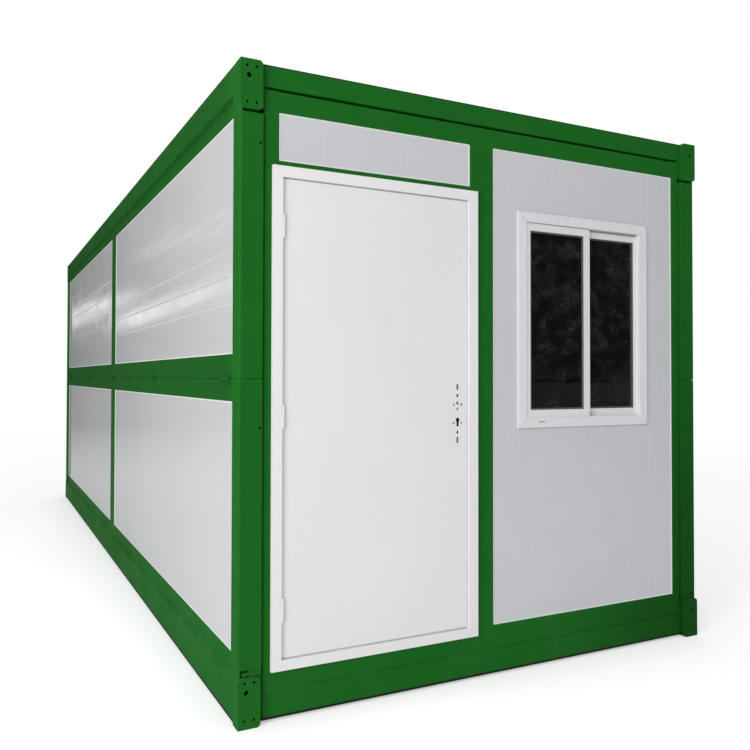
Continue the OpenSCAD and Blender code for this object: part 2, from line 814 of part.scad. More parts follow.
module window_frame() {
    f = window_flange;
    inner_low = [glazing_left, 0, glazing_bottom];
    inner_high = [glazing_right, 0, glazing_top];
    color(white_colour) union() {
        ring([window_left, end_panel_y - window_flange_proud, window_z],
             [window_right, end_panel_y, window_top], inner_low, inner_high);
        ring([window_left + f, end_panel_y, window_z + f],
             [window_right - f, wall_back_y, window_top - f], inner_low, inner_high);
    }
}

// A sash between two upright lines, with the width of its left and right stiles
module sash(x_low, x_high, y, left_stile, right_stile) {
    color(white_colour) ring([x_low, y, glazing_bottom], [x_high, y + sash_thickness, glazing_top],
                             [x_low + left_stile, 0, glazing_bottom + sash_bottom_rail],
                             [x_high - right_stile, 0, glazing_top - sash_top_rail]);
}

module pane(x_low, x_high, sash_y) {
    y = sash_y + (sash_thickness - pane_thickness) / 2;
    color([0.1, 0.12, 0.1, 0.6]) block([x_low, y, glazing_bottom + sash_bottom_rail],
                                       [x_high, y + pane_thickness, glazing_top - sash_top_rail]);
}

meeting_left = meeting_x - meeting_stile / 2;
meeting_right = meeting_x + meeting_stile / 2;
module left_sash() { sash(glazing_left, meeting_right, outer_sash_y, sash_stile, meeting_stile); }
module right_sash() { sash(meeting_left, glazing_right, inner_sash_y, meeting_stile, closing_stile); }
module left_pane() { pane(glazing_left + sash_stile, meeting_left, outer_sash_y); }
module right_pane() { pane(meeting_right, glazing_right - closing_stile, inner_sash_y); }

module rear_wall_frame() {
    low = -wall_back_y;
    high = -wall_face_y;
    half = rear_mullion_width / 2;
    color(frame_colour) union() {
        bar_x([wall_left, low, wall_bottom], [wall_right, high, end_opening_bottom]);
        bar_x([wall_left, low, end_opening_top], [wall_right, high, wall_top]);
        both_sides() bar_z([wall_left, low, wall_bottom], [wall_left + rear_stile_width, high, wall_top]);
        bar_z([-half, low, wall_bottom + bar_radius], [half, high, wall_top - bar_radius]);
    }
}

module rear_wall_panels() {
    color(panel_colour) both_sides()
        block([wall_left + rear_stile_width, -end_panel_y - panel_thickness, end_opening_bottom],
              [-rear_mullion_width / 2, -end_panel_y, end_opening_top]);
}

// ---- Hinges of the end walls: the roof carries the pins, the walls the middle barrels ----

wall_barrel_length = (wall_hinge_width - 2 * barrel_gap) / 3;
// Clear space between the leaves and the other half's barrels
leaf_relief = 3;
barrel_relief = wall_barrel_d / 2 + pin_clearance + leaf_relief;

// Left ends of the hinges along X
function wall_hinge_starts() = [
    for (i = [0 : wall_hinge_count - 1])
        wall_hinge_span * (i / (wall_hinge_count - 1) - 0.5) - wall_hinge_width / 2
];

module front_roof_hinges() {
    y = wall_back_y;
    top = wall_axis_z + barrel_relief + wall_leaf_height;
    for (x = wall_hinge_starts()) {
        block([x, y, wall_axis_z + barrel_relief], [x + wall_hinge_width, y + wall_leaf_thickness, top]);
        for (dx = [0, wall_hinge_width - wall_barrel_length]) {
            block([x + dx, y, wall_axis_z + wall_top_gap / 2],
                  [x + dx + wall_barrel_length, y + wall_leaf_thickness, wall_axis_z + barrel_relief]);
            rod_x([x + dx, wall_axis_y, wall_axis_z], wall_barrel_length, wall_barrel_d);
        }
        rod_x([x, wall_axis_y, wall_axis_z], wall_hinge_width, wall_pin_d);
    }
}

module roof_wall_hinges() {
    color(frame_colour) both_ends() front_roof_hinges();
}

module front_wall_hinges() {
    y = wall_back_y;
    bottom = wall_axis_z - barrel_relief - wall_leaf_height;
    color(frame_colour) for (x = wall_hinge_starts()) {
        middle = x + wall_barrel_length + barrel_gap;
        block([x, y, bottom], [x + wall_hinge_width, y + wall_leaf_thickness, wall_axis_z - barrel_relief]);
        difference() {
            union() {
                block([middle, y, wall_axis_z - barrel_relief],
                      [middle + wall_barrel_length, y + wall_leaf_thickness, wall_axis_z - wall_top_gap / 2]);
                rod_x([middle, wall_axis_y, wall_axis_z], wall_barrel_length, wall_barrel_d);
            }
            rod_x([middle - cut, wall_axis_y, wall_axis_z], wall_barrel_length + 2 * cut,
                  wall_pin_d + 2 * pin_clearance);
        }
    }
}

module rear_wall_hinges() { mirror([0, 1, 0]) front_wall_hinges(); }

// ---- Door ----

// Part of the distance between two door hinges that lies beyond the first and the last one
door_hinge_end = 0.25;
// Length of a door hinge's pin, as a part of its upper knuckle
door_pin_reach = 0.8;

// Heights where the two halves of each door hinge meet
function door_hinge_heights() = [
    for (i = [0 : door_hinge_count - 1])
        leaf_bottom + (leaf_top - leaf_bottom) * (i + door_hinge_end)
            / (door_hinge_count - 1 + 2 * door_hinge_end)
];

module door_hinge_pins() {
    flange_edge = leaf_left - door_gap;
    color(white_colour) for (z = door_hinge_heights()) {
        rod_z([door_axis_x, door_axis_y, z - door_knuckle_length], door_knuckle_length, door_knuckle_d);
        rod_z([door_axis_x, door_axis_y, z - cut], door_knuckle_length * door_pin_reach, door_pin_d);
        block([flange_edge, flange_face_y, z - door_knuckle_length], [door_axis_x, door_axis_y, z]);
    }
}

module door_hinge_sleeves() {
    low = barrel_gap / 2;
    color(white_colour) for (z = door_hinge_heights()) difference() {
        union() {
            rod_z([door_axis_x, door_axis_y, z + low], door_knuckle_length, door_knuckle_d);
            block([door_axis_x, door_axis_y, z + low],
                  [door_axis_x + door_knuckle_d / 2, leaf_face_y, z + low + door_knuckle_length]);
        }
        rod_z([door_axis_x, door_axis_y, z + low - cut], door_knuckle_length, door_pin_d + 2 * pin_clearance);
    }
}

// A hole of the lock, drilled from the leaf's face
module lock_hole(dx, z, d) {
    rod_y([lock_x + dx, leaf_face_y - cut, z], lock_hole_depth + cut, d);
}

module lock_slot(z) {
    block([lock_x - slot_width / 2, leaf_face_y - cut, z - slot_height / 2],
          [lock_x + slot_width / 2, leaf_face_y + lock_hole_depth, z + slot_height / 2]);
}

// The outline of the key cylinder, from one depth behind the leaf's face to another
module key_cylinder(from, to) {
    bottom = cylinder_z + cylinder_d / 2 - cylinder_height;
    rod_y([lock_x, leaf_face_y + from, cylinder_z], to - from, cylinder_d);
    block([lock_x - cylinder_tail_width / 2, leaf_face_y + from, bottom],
          [lock_x + cylinder_tail_width / 2, leaf_face_y + to, cylinder_z]);
}

module door_leaf() {
    upper_hole_z = spindle_z + upper_plate_hole;
    lower_hole_z = cylinder_z - lower_plate_hole;
    color(white_colour) difference() {
        block([leaf_left, leaf_face_y, leaf_bottom], [leaf_right, leaf_back_y, leaf_top]);
        lock_hole(0, spindle_z, spindle_hole_d);
        lock_hole(0, spindle_z - locating_hole_drop, locating_hole_d);
        key_cylinder(-cut, lock_hole_depth);
        for (z = [spindle_z - rose_hole_drop, cylinder_z - cylinder_hole_drop], dx = [-1, 1])
            lock_hole(dx * rose_hole_spacing / 2, z, rose_hole_d);
        lock_hole(0, upper_hole_z, plate_hole_d);
        lock_hole(0, lower_hole_z, plate_hole_d);
        lock_slot(upper_hole_z + upper_slot_offset);
        lock_slot(lower_hole_z - lower_slot_offset);
    }
}

// How far the key cylinder's face lies behind the leaf's face
cylinder_recess = 3;
// Thickness of the follower that the missing handle would turn
follower_thickness = 8;

// The key cylinder and the follower behind the spindle hole
module door_lock() {
    color("silver") {
        key_cylinder(cylinder_recess, lock_hole_depth);
        rod_y([lock_x, leaf_face_y + lock_hole_depth - follower_thickness, spindle_z],
              follower_thickness, spindle_hole_d);
    }
}

floor_side_beams();
floor_end_beams();
floor_joists();
floor_deck();
floor_corner_front_left();
floor_corner_front_right();
floor_corner_rear_left();
floor_corner_rear_right();
roof_side_beams();
roof_end_beams();
roof_purlins();
roof_sheet();
ceiling_panel();
roof_corner_front_left();
roof_corner_front_right();
roof_corner_rear_left();
roof_corner_rear_right();
left_lower_frame();
left_upper_frame();
right_lower_frame();
right_upper_frame();
left_lower_panels();
left_upper_panels();
right_lower_panels();
right_upper_panels();
left_fold_hinges();
right_fold_hinges();
roof_wall_hinges();
front_wall_frame();
transom_panel();
window_panel();
door_frame();
door_hinge_pins();
window_frame();
left_sash();
right_sash();
left_pane();
right_pane();
front_wall_hinges();
door_leaf();
door_lock();
door_hinge_sleeves();
rear_wall_frame();
rear_wall_panels();
rear_wall_hinges();
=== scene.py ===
# %% [markdown]
# # The looks of a folding container house
# The house is a steel frame with white sandwich panels that folds flat for transport. Its frame,
# panels, door and window come in as finished solids. This lesson dresses them: it gives every
# surface its finish, adds the small parts that a solid model leaves out, and lights the result.

import math

import bmesh
import bpy
from mathutils import Matrix, Vector


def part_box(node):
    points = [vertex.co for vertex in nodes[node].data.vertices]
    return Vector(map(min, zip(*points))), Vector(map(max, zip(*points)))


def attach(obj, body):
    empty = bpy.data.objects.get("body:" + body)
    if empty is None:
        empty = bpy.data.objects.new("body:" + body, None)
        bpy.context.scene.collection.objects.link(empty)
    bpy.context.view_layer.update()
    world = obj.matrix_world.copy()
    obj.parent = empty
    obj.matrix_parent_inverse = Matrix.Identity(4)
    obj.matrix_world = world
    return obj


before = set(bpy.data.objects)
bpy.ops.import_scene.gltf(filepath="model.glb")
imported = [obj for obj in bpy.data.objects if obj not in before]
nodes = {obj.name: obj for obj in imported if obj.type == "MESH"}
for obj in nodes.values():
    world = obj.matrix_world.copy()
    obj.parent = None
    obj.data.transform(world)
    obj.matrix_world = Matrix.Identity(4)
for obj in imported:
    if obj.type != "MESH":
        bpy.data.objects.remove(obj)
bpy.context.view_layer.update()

# %% [markdown]
# The camera stands left of the door, at eye height under the ceiling's level, and looks along the
# front towards the far corner. Its shift moves the picture's middle away from where the lens
# points. A camera turned that far instead would make the posts lean.

# %% Camera
eye = Vector((-2.1057, -5.4952, 1.3042))
turn_right, tilt_up, roll = math.radians(24.981), math.radians(0.959), math.radians(0.177)
camera = bpy.data.objects.new("camera", bpy.data.cameras.new("camera"))
bpy.context.scene.collection.objects.link(camera)
camera.data.sensor_width = 36.0
camera.data.lens = 35.296
camera.data.shift_x, camera.data.shift_y = 0.0737, -0.0137
camera.data.clip_start, camera.data.clip_end = 0.05, 400.0
camera.matrix_world = (
    Matrix.Translation(eye)
    @ Matrix.Rotation(-turn_right, 4, "Z")
    @ Matrix.Rotation(math.pi / 2 + tilt_up, 4, "X")
    @ Matrix.Rotation(roll, 4, "Z")
)
bpy.context.scene.camera = camera
print("camera looks", round(math.degrees(turn_right), 1), "degrees right of the house's length")

# %% [markdown]
# A finish is a small graph of shader nodes. Each node is added by one short call that names its
# kind, what feeds its sockets and its settings, so that a graph reads like a recipe.


# %% Shader node helpers
def put(tree, kind, feed=None, **settings):
    """Adds a shader node. feed gives its sockets a value or another node's output."""
    node = tree.nodes.new("ShaderNode" + kind)
    for name, value in settings.items():
        setattr(node, name, value)
    for key, value in (feed or {}).items():
        if isinstance(value, bpy.types.NodeSocket):
            tree.links.new(value, node.inputs[key])
        else:
            node.inputs[key].default_value = value
    return node


def maths(tree, operation, first, second=0.0, clamp=False):
    return put(tree, "Math", {0: first, 1: second}, operation=operation, use_clamp=clamp).outputs[0]


def times(tree, first, second, clamp=False):
    return maths(tree, "MULTIPLY", first, second, clamp)


def plus(tree, first, second, clamp=False):
    return maths(tree, "ADD", first, second, clamp)


def either(tree, share, full, none):
    """One value where share is 1 and another where it is 0."""
    return plus(tree, times(tree, share, full), times(tree, maths(tree, "SUBTRACT", 1.0, share), none))


def blend(tree, share, start, end):
    return put(tree, "Mix", {0: share, 6: start, 7: end}, data_type="RGBA").outputs[2]


def blend_value(tree, share, start, end):
    return put(tree, "Mix", {0: share, 2: start, 3: end}, data_type="FLOAT").outputs[0]


def spread(tree, value, low, high, to_low=0.0, to_high=1.0):
    feed = {"Value": value, "From Min": low, "From Max": high, "To Min": to_low, "To Max": to_high}
    return put(tree, "MapRange", feed).outputs[0]


def cloud(tree, size, stretch=(1, 1, 1), detail=3.0, where=None):
    """Soft noise with blobs about size metres wide, drawn out where stretch is small."""
    spot = where or put(tree, "TexCoord").outputs["Object"]
    spot = put(tree, "Mapping", {"Vector": spot, "Scale": stretch}).outputs[0]
    feed = {"Vector": spot, "Scale": 1.0 / size, "Detail": detail}
    return put(tree, "TexNoise", feed).outputs["Fac"]


def new_group(name, takes, gives):
    """A node group with named inputs and outputs, and its two end nodes."""
    tree = bpy.data.node_groups.new(name, "ShaderNodeTree")
    for label, kind, start in takes:
        socket = tree.interface.new_socket(label, in_out="INPUT", socket_type="NodeSocket" + kind)
        socket.default_value = start
    for label, kind in gives:
        tree.interface.new_socket(label, in_out="OUTPUT", socket_type="NodeSocket" + kind)
    return tree, tree.nodes.new("NodeGroupInput").outputs, tree.nodes.new("NodeGroupOutput").inputs


def use(tree, group, feed=None):
    """Places a node group in a tree and gives its inputs their values."""
    return put(tree, "Group", feed, node_tree=group).outputs


print("shader helpers ready")

# %% [markdown]
# No painted wall is one even colour. Batches differ and skins yellow a little, so this group
# makes a colour lighter and darker in soft patches. Two sizes of noise are mixed, because one
# alone looks like camouflage.

# %% Group: uneven colour
uneven, takes, gives = new_group(
    "uneven_colour",
    [("Colour", "Color", (0.5, 0.5, 0.5, 1)), ("Patch", "Float", 0.5), ("Amount", "Float", 0.05)],
    [("Colour", "Color")],
)
per_metre = maths(uneven, "DIVIDE", 1.0, takes["Patch"])
place = put(uneven, "TexCoord").outputs["Object"]
broad = put(uneven, "TexNoise", {"Vector": place, "Scale": per_metre, "Detail": 2.0}).outputs["Fac"]
fine = put(
    uneven,
    "TexNoise",
    {"Vector": place, "Scale": times(uneven, per_metre, 9.0), "Detail": 4.0},
).outputs["Fac"]
both = plus(uneven, times(uneven, broad, 0.7), times(uneven, fine, 0.3))
swing = times(uneven, spread(uneven, both, 0.32, 0.68, -1.0, 1.0), takes["Amount"])
lightness = plus(uneven, swing, 1.0)
scaled = put(uneven, "VectorMath", {0: takes["Colour"], "Scale": lightness}, operation="SCALE")
uneven.links.new(scaled.outputs[0], gives["Colour"])
print("group", uneven.name)

# %% [markdown]
# Edges get a lighter colour, a painted highlight along corners and folds. The Bevel node rounds
# the normal near an edge, and the angle between that and the true normal is a mask of the edges.
# Noise breaks it up, so that the highlight comes and goes along an edge.

# %% Group: painted edge highlight
edge_highlight, takes, gives = new_group(
    "painted_edge_highlight",
    [("Reach", "Float", 0.004), ("Amount", "Float", 0.5)],
    [("Mask", "Float")],
)
true_normal = put(edge_highlight, "NewGeometry").outputs["Normal"]
rounded = put(edge_highlight, "Bevel", {"Radius": takes["Reach"]}, samples=4).outputs[0]
facing = put(edge_highlight, "VectorMath", {0: rounded, 1: true_normal}, operation="DOT_PRODUCT")
edge = spread(edge_highlight, maths(edge_highlight, "SUBTRACT", 1.0, facing.outputs["Value"]), 0.01, 0.22)
patchy = spread(edge_highlight, cloud(edge_highlight, 0.09, detail=6.0), 0.38, 0.66)
highlight_mask = times(edge_highlight, times(edge_highlight, edge, patchy), takes["Amount"], clamp=True)
edge_highlight.links.new(highlight_mask, gives["Mask"])
print("group", edge_highlight.name)

# %% [markdown]
# Dust settles on ledges and rain splashes it up the lowest half metre of the walls. The part of
# the normal that points up gives the ledges, and the height gives the splash. Both use the
# piece's own coordinates, so the dust stays put when a wall swings.

# %% Group: settled dust
settled, takes, gives = new_group(
    "settled_dust",
    [("Ledges", "Float", 0.5), ("Splash", "Float", 0.3)],
    [("Mask", "Float")],
)
coords = put(settled, "TexCoord").outputs
upward = spread(settled, put(settled, "SeparateXYZ", {0: coords["Normal"]}).outputs["Z"], 0.35, 0.95)
height = put(settled, "SeparateXYZ", {0: coords["Object"]}).outputs["Z"]
low_down = spread(settled, height, 0.55, 0.0)
low_down = times(settled, low_down, low_down)
grainy = spread(settled, cloud(settled, 0.05, detail=7.0), 0.35, 0.7)
smudge = spread(settled, cloud(settled, 0.4), 0.3, 0.7)
dirt = plus(settled, times(settled, upward, takes["Ledges"]), times(settled, low_down, takes["Splash"]))
dirt = times(settled, dirt, times(settled, grainy, smudge), clamp=True)
settled.links.new(dirt, gives["Mask"])
print("group", settled.name)

# %% [markdown]
# Rain runs down in narrow tracks and leaves them a shade darker. Noise that is thin across and
# long downwards makes the tracks.

# %% Group: rain tracks
rain, takes, gives = new_group(
    "rain_tracks", [("Amount", "Float", 0.1)], [("Mask", "Float")]
)
tracks = spread(rain, cloud(rain, 0.05, (1, 1, 0.03), 4.0), 0.52, 0.75)
broken = spread(rain, cloud(rain, 0.7, (1, 1, 0.6)), 0.35, 0.7)
marks = times(rain, times(rain, tracks, broken), takes["Amount"], clamp=True)
rain.links.new(marks, gives["Mask"])
print("group", rain.name)

# %% [markdown]
# Thin steel skins come off a roll and are never quite flat: they keep long shallow waves in the
# direction that they were rolled in. The group gives a height for a Bump node. Its Stretch input
# says which way the sheet ran, since a small number draws the waves out along that axis.

# %% Group: rolled sheet
rolled, takes, gives = new_group(
    "rolled_sheet", [("Stretch", "Vector", (1, 1, 1))], [("Height", "Float")]
)
place = put(rolled, "TexCoord").outputs["Object"]
along = put(rolled, "VectorMath", {0: place, 1: takes["Stretch"]}, operation="MULTIPLY").outputs[0]
waves = put(rolled, "TexNoise", {"Vector": along, "Scale": 5.0, "Detail": 1.0}).outputs["Fac"]
lines = put(rolled, "TexNoise", {"Vector": along, "Scale": 60.0, "Detail": 2.0}).outputs["Fac"]
height = plus(rolled, waves, times(rolled, lines, 0.05))
rolled.links.new(height, gives["Height"])
print("group", rolled.name)

# %% [markdown]
# Sprayed paint dries with a fine dimpled surface. Close up it softens every reflection, and from
# afar it is only a change in gloss. The group gives both, a height and a roughness that varies.

# %% Group: sprayed coat
sprayed, takes, gives = new_group(
    "sprayed_coat",
    [("Dimple", "Float", 0.003), ("Low", "Float", 0.3), ("High", "Float", 0.45)],
    [("Height", "Float"), ("Roughness", "Float")],
)
per_metre = maths(sprayed, "DIVIDE", 1.0, takes["Dimple"])
place = put(sprayed, "TexCoord").outputs["Object"]
dimples = put(sprayed, "TexNoise", {"Vector": place, "Scale": per_metre, "Detail": 1.0}).outputs["Fac"]
handled = cloud(sprayed, 0.25, detail=5.0)
gloss = put(
    sprayed,
    "MapRange",
    {"Value": handled, "From Min": 0.3, "From Max": 0.7, "To Min": takes["Low"], "To Max": takes["High"]},
)
sprayed.links.new(dimples, gives["Height"])
sprayed.links.new(gloss.outputs[0], gives["Roughness"])
print("group", sprayed.name)

# %% [markdown]
# Every finish starts the same way: a material with one Principled shader. Values that are the
# same all over, such as the strength of its reflections, are set on the shader itself.


# %% Material helpers
def new_material(name, colour=(0.5, 0.5, 0.5), roughness=0.5, metallic=0.0, level=0.5):
    material = bpy.data.materials.new(name)
    material.use_nodes = True
    tree = material.node_tree
    shader = tree.nodes["Principled BSDF"]
    shader.inputs["Base Color"].default_value = (*colour, 1)
    shader.inputs["Roughness"].default_value = roughness
    shader.inputs["Metallic"].default_value = metallic
    shader.inputs["Specular IOR Level"].default_value = level
    return material, tree, shader.inputs


def wire(tree, sockets, **feeds):
    """Links outputs to the shader's sockets. Base_Color stands for Base Color."""
    for key, value in feeds.items():
        tree.links.new(value, sockets[key.replace("_", " ")])


def bumps(tree, *layers):
    """Stacks (height, strength, distance in metres) layers of Bump nodes."""
    normal = None
    for height, strength, distance in layers:
        feed = {"Height": height, "Strength": strength, "Distance": distance}
        if normal is not None:
            feed["Normal"] = normal
        normal = put(tree, "Bump", feed).outputs[0]
    return normal


def dusted(tree, coat, dust, amount):
    """The roughness of a sprayed coat, raised where dust lies."""
    return plus(tree, coat["Roughness"], times(tree, dust, amount), clamp=True)


print("material helpers ready")

# %% [markdown]
# The frame is cold-rolled steel, sprayed with one coat of green enamel. It is a deep green with a
# modest shine. Painted shade darkens it low down towards the right, and on the long walls painted
# shade deepens it with height. Its edges are painted a lighter green as a highlight, and it is
# dusty on ledges and near the ground.

# %% Finish: green enamel
PAINT_GREEN = (0.0105, 0.119, 0.0135, 1)
green_enamel, tree, shader = new_material("green_enamel", level=0.03)
colour = use(tree, uneven, {"Colour": PAINT_GREEN, "Patch": 0.8, "Amount": 0.07})["Colour"]
spot = put(tree, "SeparateXYZ", {0: put(tree, "TexCoord").outputs["Object"]}).outputs
# Painted shade: the green is darkened towards black low down on the right, and higher up on the long
# walls.
corner = times(tree, spread(tree, spot["X"], 0.2, 1.15), spread(tree, spot["Z"], 1.9, 0.6))
long_wall = times(
    tree,
    spread(tree, maths(tree, "ABSOLUTE", spot["X"]), 1.195, 1.205),
    spread(tree, maths(tree, "ABSOLUTE", spot["Y"]), 2.78, 2.68),
)
shade_high_on_long_walls = times(tree, long_wall, spread(tree, spot["Z"], 0.2, 1.3))
painted_green_shade = plus(tree, times(tree, corner, 0.38), times(tree, shade_high_on_long_walls, 0.16))
colour = blend(tree, painted_green_shade, colour, (0, 0, 0, 1))
# Painted highlight: the green's edges are made a lighter green.
edge_lightening = use(tree, edge_highlight, {"Reach": 0.005, "Amount": 0.45})["Mask"]
colour = blend(tree, edge_lightening, colour, (0.055, 0.235, 0.065, 1))
dust = use(tree, settled, {"Ledges": 0.7, "Splash": 0.12})["Mask"]
colour = blend(tree, dust, colour, (0.08, 0.22, 0.08, 1))
coat = use(tree, sprayed, {"Dimple": 0.004, "Low": 0.46, "High": 0.60})
sheet = use(tree, rolled, {"Stretch": (0.6, 0.25, 0.6)})
wire(
    tree,
    shader,
    Base_Color=colour,
    Roughness=dusted(tree, coat, dust, 0.4),
    Normal=bumps(tree, (sheet["Height"], 0.25, 0.004), (coat["Height"], 0.12, 0.0004)),
)
print("finish", green_enamel.name)

# %% [markdown]
# The wall panels are foam boards between two skins of coated steel. The skins are off-white, a
# little blue, glossy, and wavy along the roll. The end walls' panels stand upright and the side
# walls' lie on their long edge, so each gets its own direction for the waves.


# %% Finish: panel skins
def panel_skin(name, colour, stretch, gloss=(0.16, 0.30), level=0.5, rain_amount=0.06):
    material, tree, shader = new_material(name, level=level)
    tone = use(tree, uneven, {"Colour": (*colour, 1), "Patch": 0.9, "Amount": 0.025})["Colour"]
    tracks = use(tree, rain, {"Amount": rain_amount})["Mask"]
    tone = blend(tree, tracks, tone, (colour[0] * 0.8, colour[1] * 0.8, colour[2] * 0.78, 1))
    dust = use(tree, settled, {"Ledges": 0.3, "Splash": 0.25})["Mask"]
    tone = blend(tree, dust, tone, (0.36, 0.34, 0.30, 1))
    coat = use(tree, sprayed, {"Dimple": 0.006, "Low": gloss[0], "High": gloss[1]})
    sheet = use(tree, rolled, {"Stretch": stretch})
    wire(
        tree,
        shader,
        Base_Color=tone,
        Roughness=dusted(tree, coat, dust, 0.4),
        Normal=bumps(tree, (sheet["Height"], 0.5, 0.0035), (coat["Height"], 0.05, 0.0002)),
    )
    return material


end_skin = panel_skin("end_wall_skin", (0.565, 0.568, 0.60), (1.0, 1.0, 0.06))
side_skin = panel_skin("side_wall_skin", (0.56, 0.563, 0.575), (1.0, 0.08, 1.0), (0.05, 0.12), 0.58)
ceiling_skin = panel_skin("ceiling_skin", (0.70, 0.70, 0.69), (1.0, 0.08, 1.0), (0.3, 0.42), 0.4, 0.0)
print("finishes", end_skin.name, side_skin.name, ceiling_skin.name)

# %% [markdown]
# The door leaf and its frame are satin white. They are a warmer white than the walls. The frame
# is powder coated, which leaves a finer dimple than a spray gun does.


# %% Finish: white coats
def white_coat(name, colour, dimple, gloss, edge_lightening_amount=0.25):
    material, tree, shader = new_material(name, level=0.4)
    tone = use(tree, uneven, {"Colour": (*colour, 1), "Patch": 0.7, "Amount": 0.02})["Colour"]
    # Painted highlight: the white's edges are made a lighter white.
    edge_lightening = use(tree, edge_highlight, {"Reach": 0.003, "Amount": edge_lightening_amount})["Mask"]
    tone = blend(tree, edge_lightening, tone, (0.86, 0.85, 0.83, 1))
    dust = use(tree, settled, {"Ledges": 0.4, "Splash": 0.22})["Mask"]
    tone = blend(tree, dust, tone, (0.42, 0.39, 0.34, 1))
    coat = use(tree, sprayed, {"Dimple": dimple, "Low": gloss[0], "High": gloss[1]})
    sheet = use(tree, rolled, {"Stretch": (1.0, 1.0, 0.12)})
    wire(
        tree,
        shader,
        Base_Color=tone,
        Roughness=dusted(tree, coat, dust, 0.3),
        Normal=bumps(tree, (sheet["Height"], 0.3, 0.002), (coat["Height"], 0.15, 0.0003)),
    )
    return material


door_white = white_coat("door_white", (0.755, 0.745, 0.742), 0.005, (0.34, 0.44))
frame_white = white_coat("door_frame_white", (0.77, 0.755, 0.765), 0.0025, (0.36, 0.48))
print("finishes", door_white.name, frame_white.name)

# %% [markdown]
# The window is extruded white plastic, smoother and cooler than the door. Extrusion leaves faint
# lines along each bar. They are too fine to see as shapes, but they streak the gloss.

# %% Finish: window plastic
window_plastic, tree, shader = new_material("window_plastic", level=0.5)
tone = use(tree, uneven, {"Colour": (0.70, 0.705, 0.72, 1), "Patch": 0.5, "Amount": 0.02})["Colour"]
dust = use(tree, settled, {"Ledges": 0.7, "Splash": 0.0})["Mask"]
tone = blend(tree, dust, tone, (0.33, 0.32, 0.29, 1))
die_lines = cloud(tree, 0.004, (1, 1, 0.02), 2.0)
gloss = spread(tree, die_lines, 0.3, 0.7, 0.22, 0.34)
wire(
    tree,
    shader,
    Base_Color=tone,
    Roughness=gloss,
    Normal=bumps(tree, (die_lines, 0.1, 0.0002)),
)
print("finish", window_plastic.name)

# %% [markdown]
# The panes are float glass. Their colour is set near black, painted shade for the unlit room behind
# them, and lighter, slightly rougher patches on them are painted reflection.

# %% Finish: glass with painted shade and painted reflection
shaded_glass, tree, shader = new_material("shaded_glass", level=0.35)
broad_mottle = cloud(tree, 0.09, (1, 1, 1.4), 6.0)
fine_mottle = cloud(tree, 0.012, detail=4.0)
painted_reflection = times(tree, spread(tree, broad_mottle, 0.45, 0.68), spread(tree, fine_mottle, 0.35, 0.65))
# Painted shade and reflection: near-black glass, with lighter patches standing for reflection.
tone = blend(tree, painted_reflection, (0.05, 0.058, 0.05, 1), (0.40, 0.41, 0.38, 1))
shader["Transmission Weight"].default_value = 0.985
shader["IOR"].default_value = 1.5
wire(tree, shader, Base_Color=tone, Roughness=times(tree, painted_reflection, 0.12))
print("finish", shaded_glass.name)

# %% [markdown]
# The joists and purlins are plain galvanised steel. Hot zinc freezes in flat crystals, each with
# its own shine. A Voronoi texture gives cells of the right size, and each cell gets its own grey
# and its own roughness.

# %% Finish: galvanised steel
galvanised, tree, shader = new_material("galvanised_steel", metallic=0.9)
spot = put(tree, "TexCoord").outputs["Object"]
cells = put(tree, "TexVoronoi", {"Vector": spot, "Scale": 70.0, "Randomness": 1.0})
cell = put(tree, "SeparateColor", {0: cells.outputs["Color"]}).outputs
tone = blend(tree, cell[0], (0.30, 0.31, 0.32, 1), (0.47, 0.48, 0.49, 1))
stain = spread(tree, cloud(tree, 0.3, detail=5.0), 0.5, 0.75)
tone = blend(tree, times(tree, stain, 0.4), tone, (0.52, 0.52, 0.51, 1))
wire(
    tree,
    shader,
    Base_Color=tone,
    Roughness=spread(tree, cell[1], 0.0, 1.0, 0.34, 0.52),
    Normal=bumps(tree, (cells.outputs["Distance"], 0.08, 0.0003)),
)
print("finish", galvanised.name)

# %% [markdown]
# The floor is made of fibre-cement boards, four feet wide and laid across the house. A Brick
# texture gives the boards their joints and each its own shade. Fine noise is the fibre's grain.

# %% Finish: floor boards
floor_boards, tree, shader = new_material("fibre_cement_board", level=0.3)
spot = put(tree, "TexCoord").outputs["Object"]
laid = put(
    tree,
    "TexBrick",
    {
        "Vector": spot,
        "Color1": (0.31, 0.29, 0.26, 1),
        "Color2": (0.27, 0.255, 0.23, 1),
        "Mortar": (0.07, 0.065, 0.06, 1),
        "Scale": 1.0,
        "Mortar Size": 0.0025,
        "Brick Width": 2.5,
        "Row Height": 1.22,
    },
    offset=0.0,
)
fibre = cloud(tree, 0.006, (1, 0.25, 1), 5.0)
tone = blend(tree, spread(tree, fibre, 0.3, 0.7, 0.0, 0.35), laid.outputs["Color"], (0.40, 0.38, 0.34, 1))
scuffs = spread(tree, cloud(tree, 0.5, detail=6.0), 0.5, 0.8, 0.0, 0.3)
tone = blend(tree, scuffs, tone, (0.20, 0.19, 0.175, 1))
joints = maths(tree, "SUBTRACT", 1.0, laid.outputs["Fac"])
wire(
    tree,
    shader,
    Base_Color=tone,
    Roughness=spread(tree, fibre, 0.3, 0.7, 0.62, 0.8),
    Normal=bumps(tree, (joints, 0.8, 0.002), (fibre, 0.25, 0.0005)),
)
print("finish", floor_boards.name)

# %% [markdown]
# The roof is ribbed steel sheet with a pale grey coating. It is the dustiest surface of all, and
# water dries in its low places.

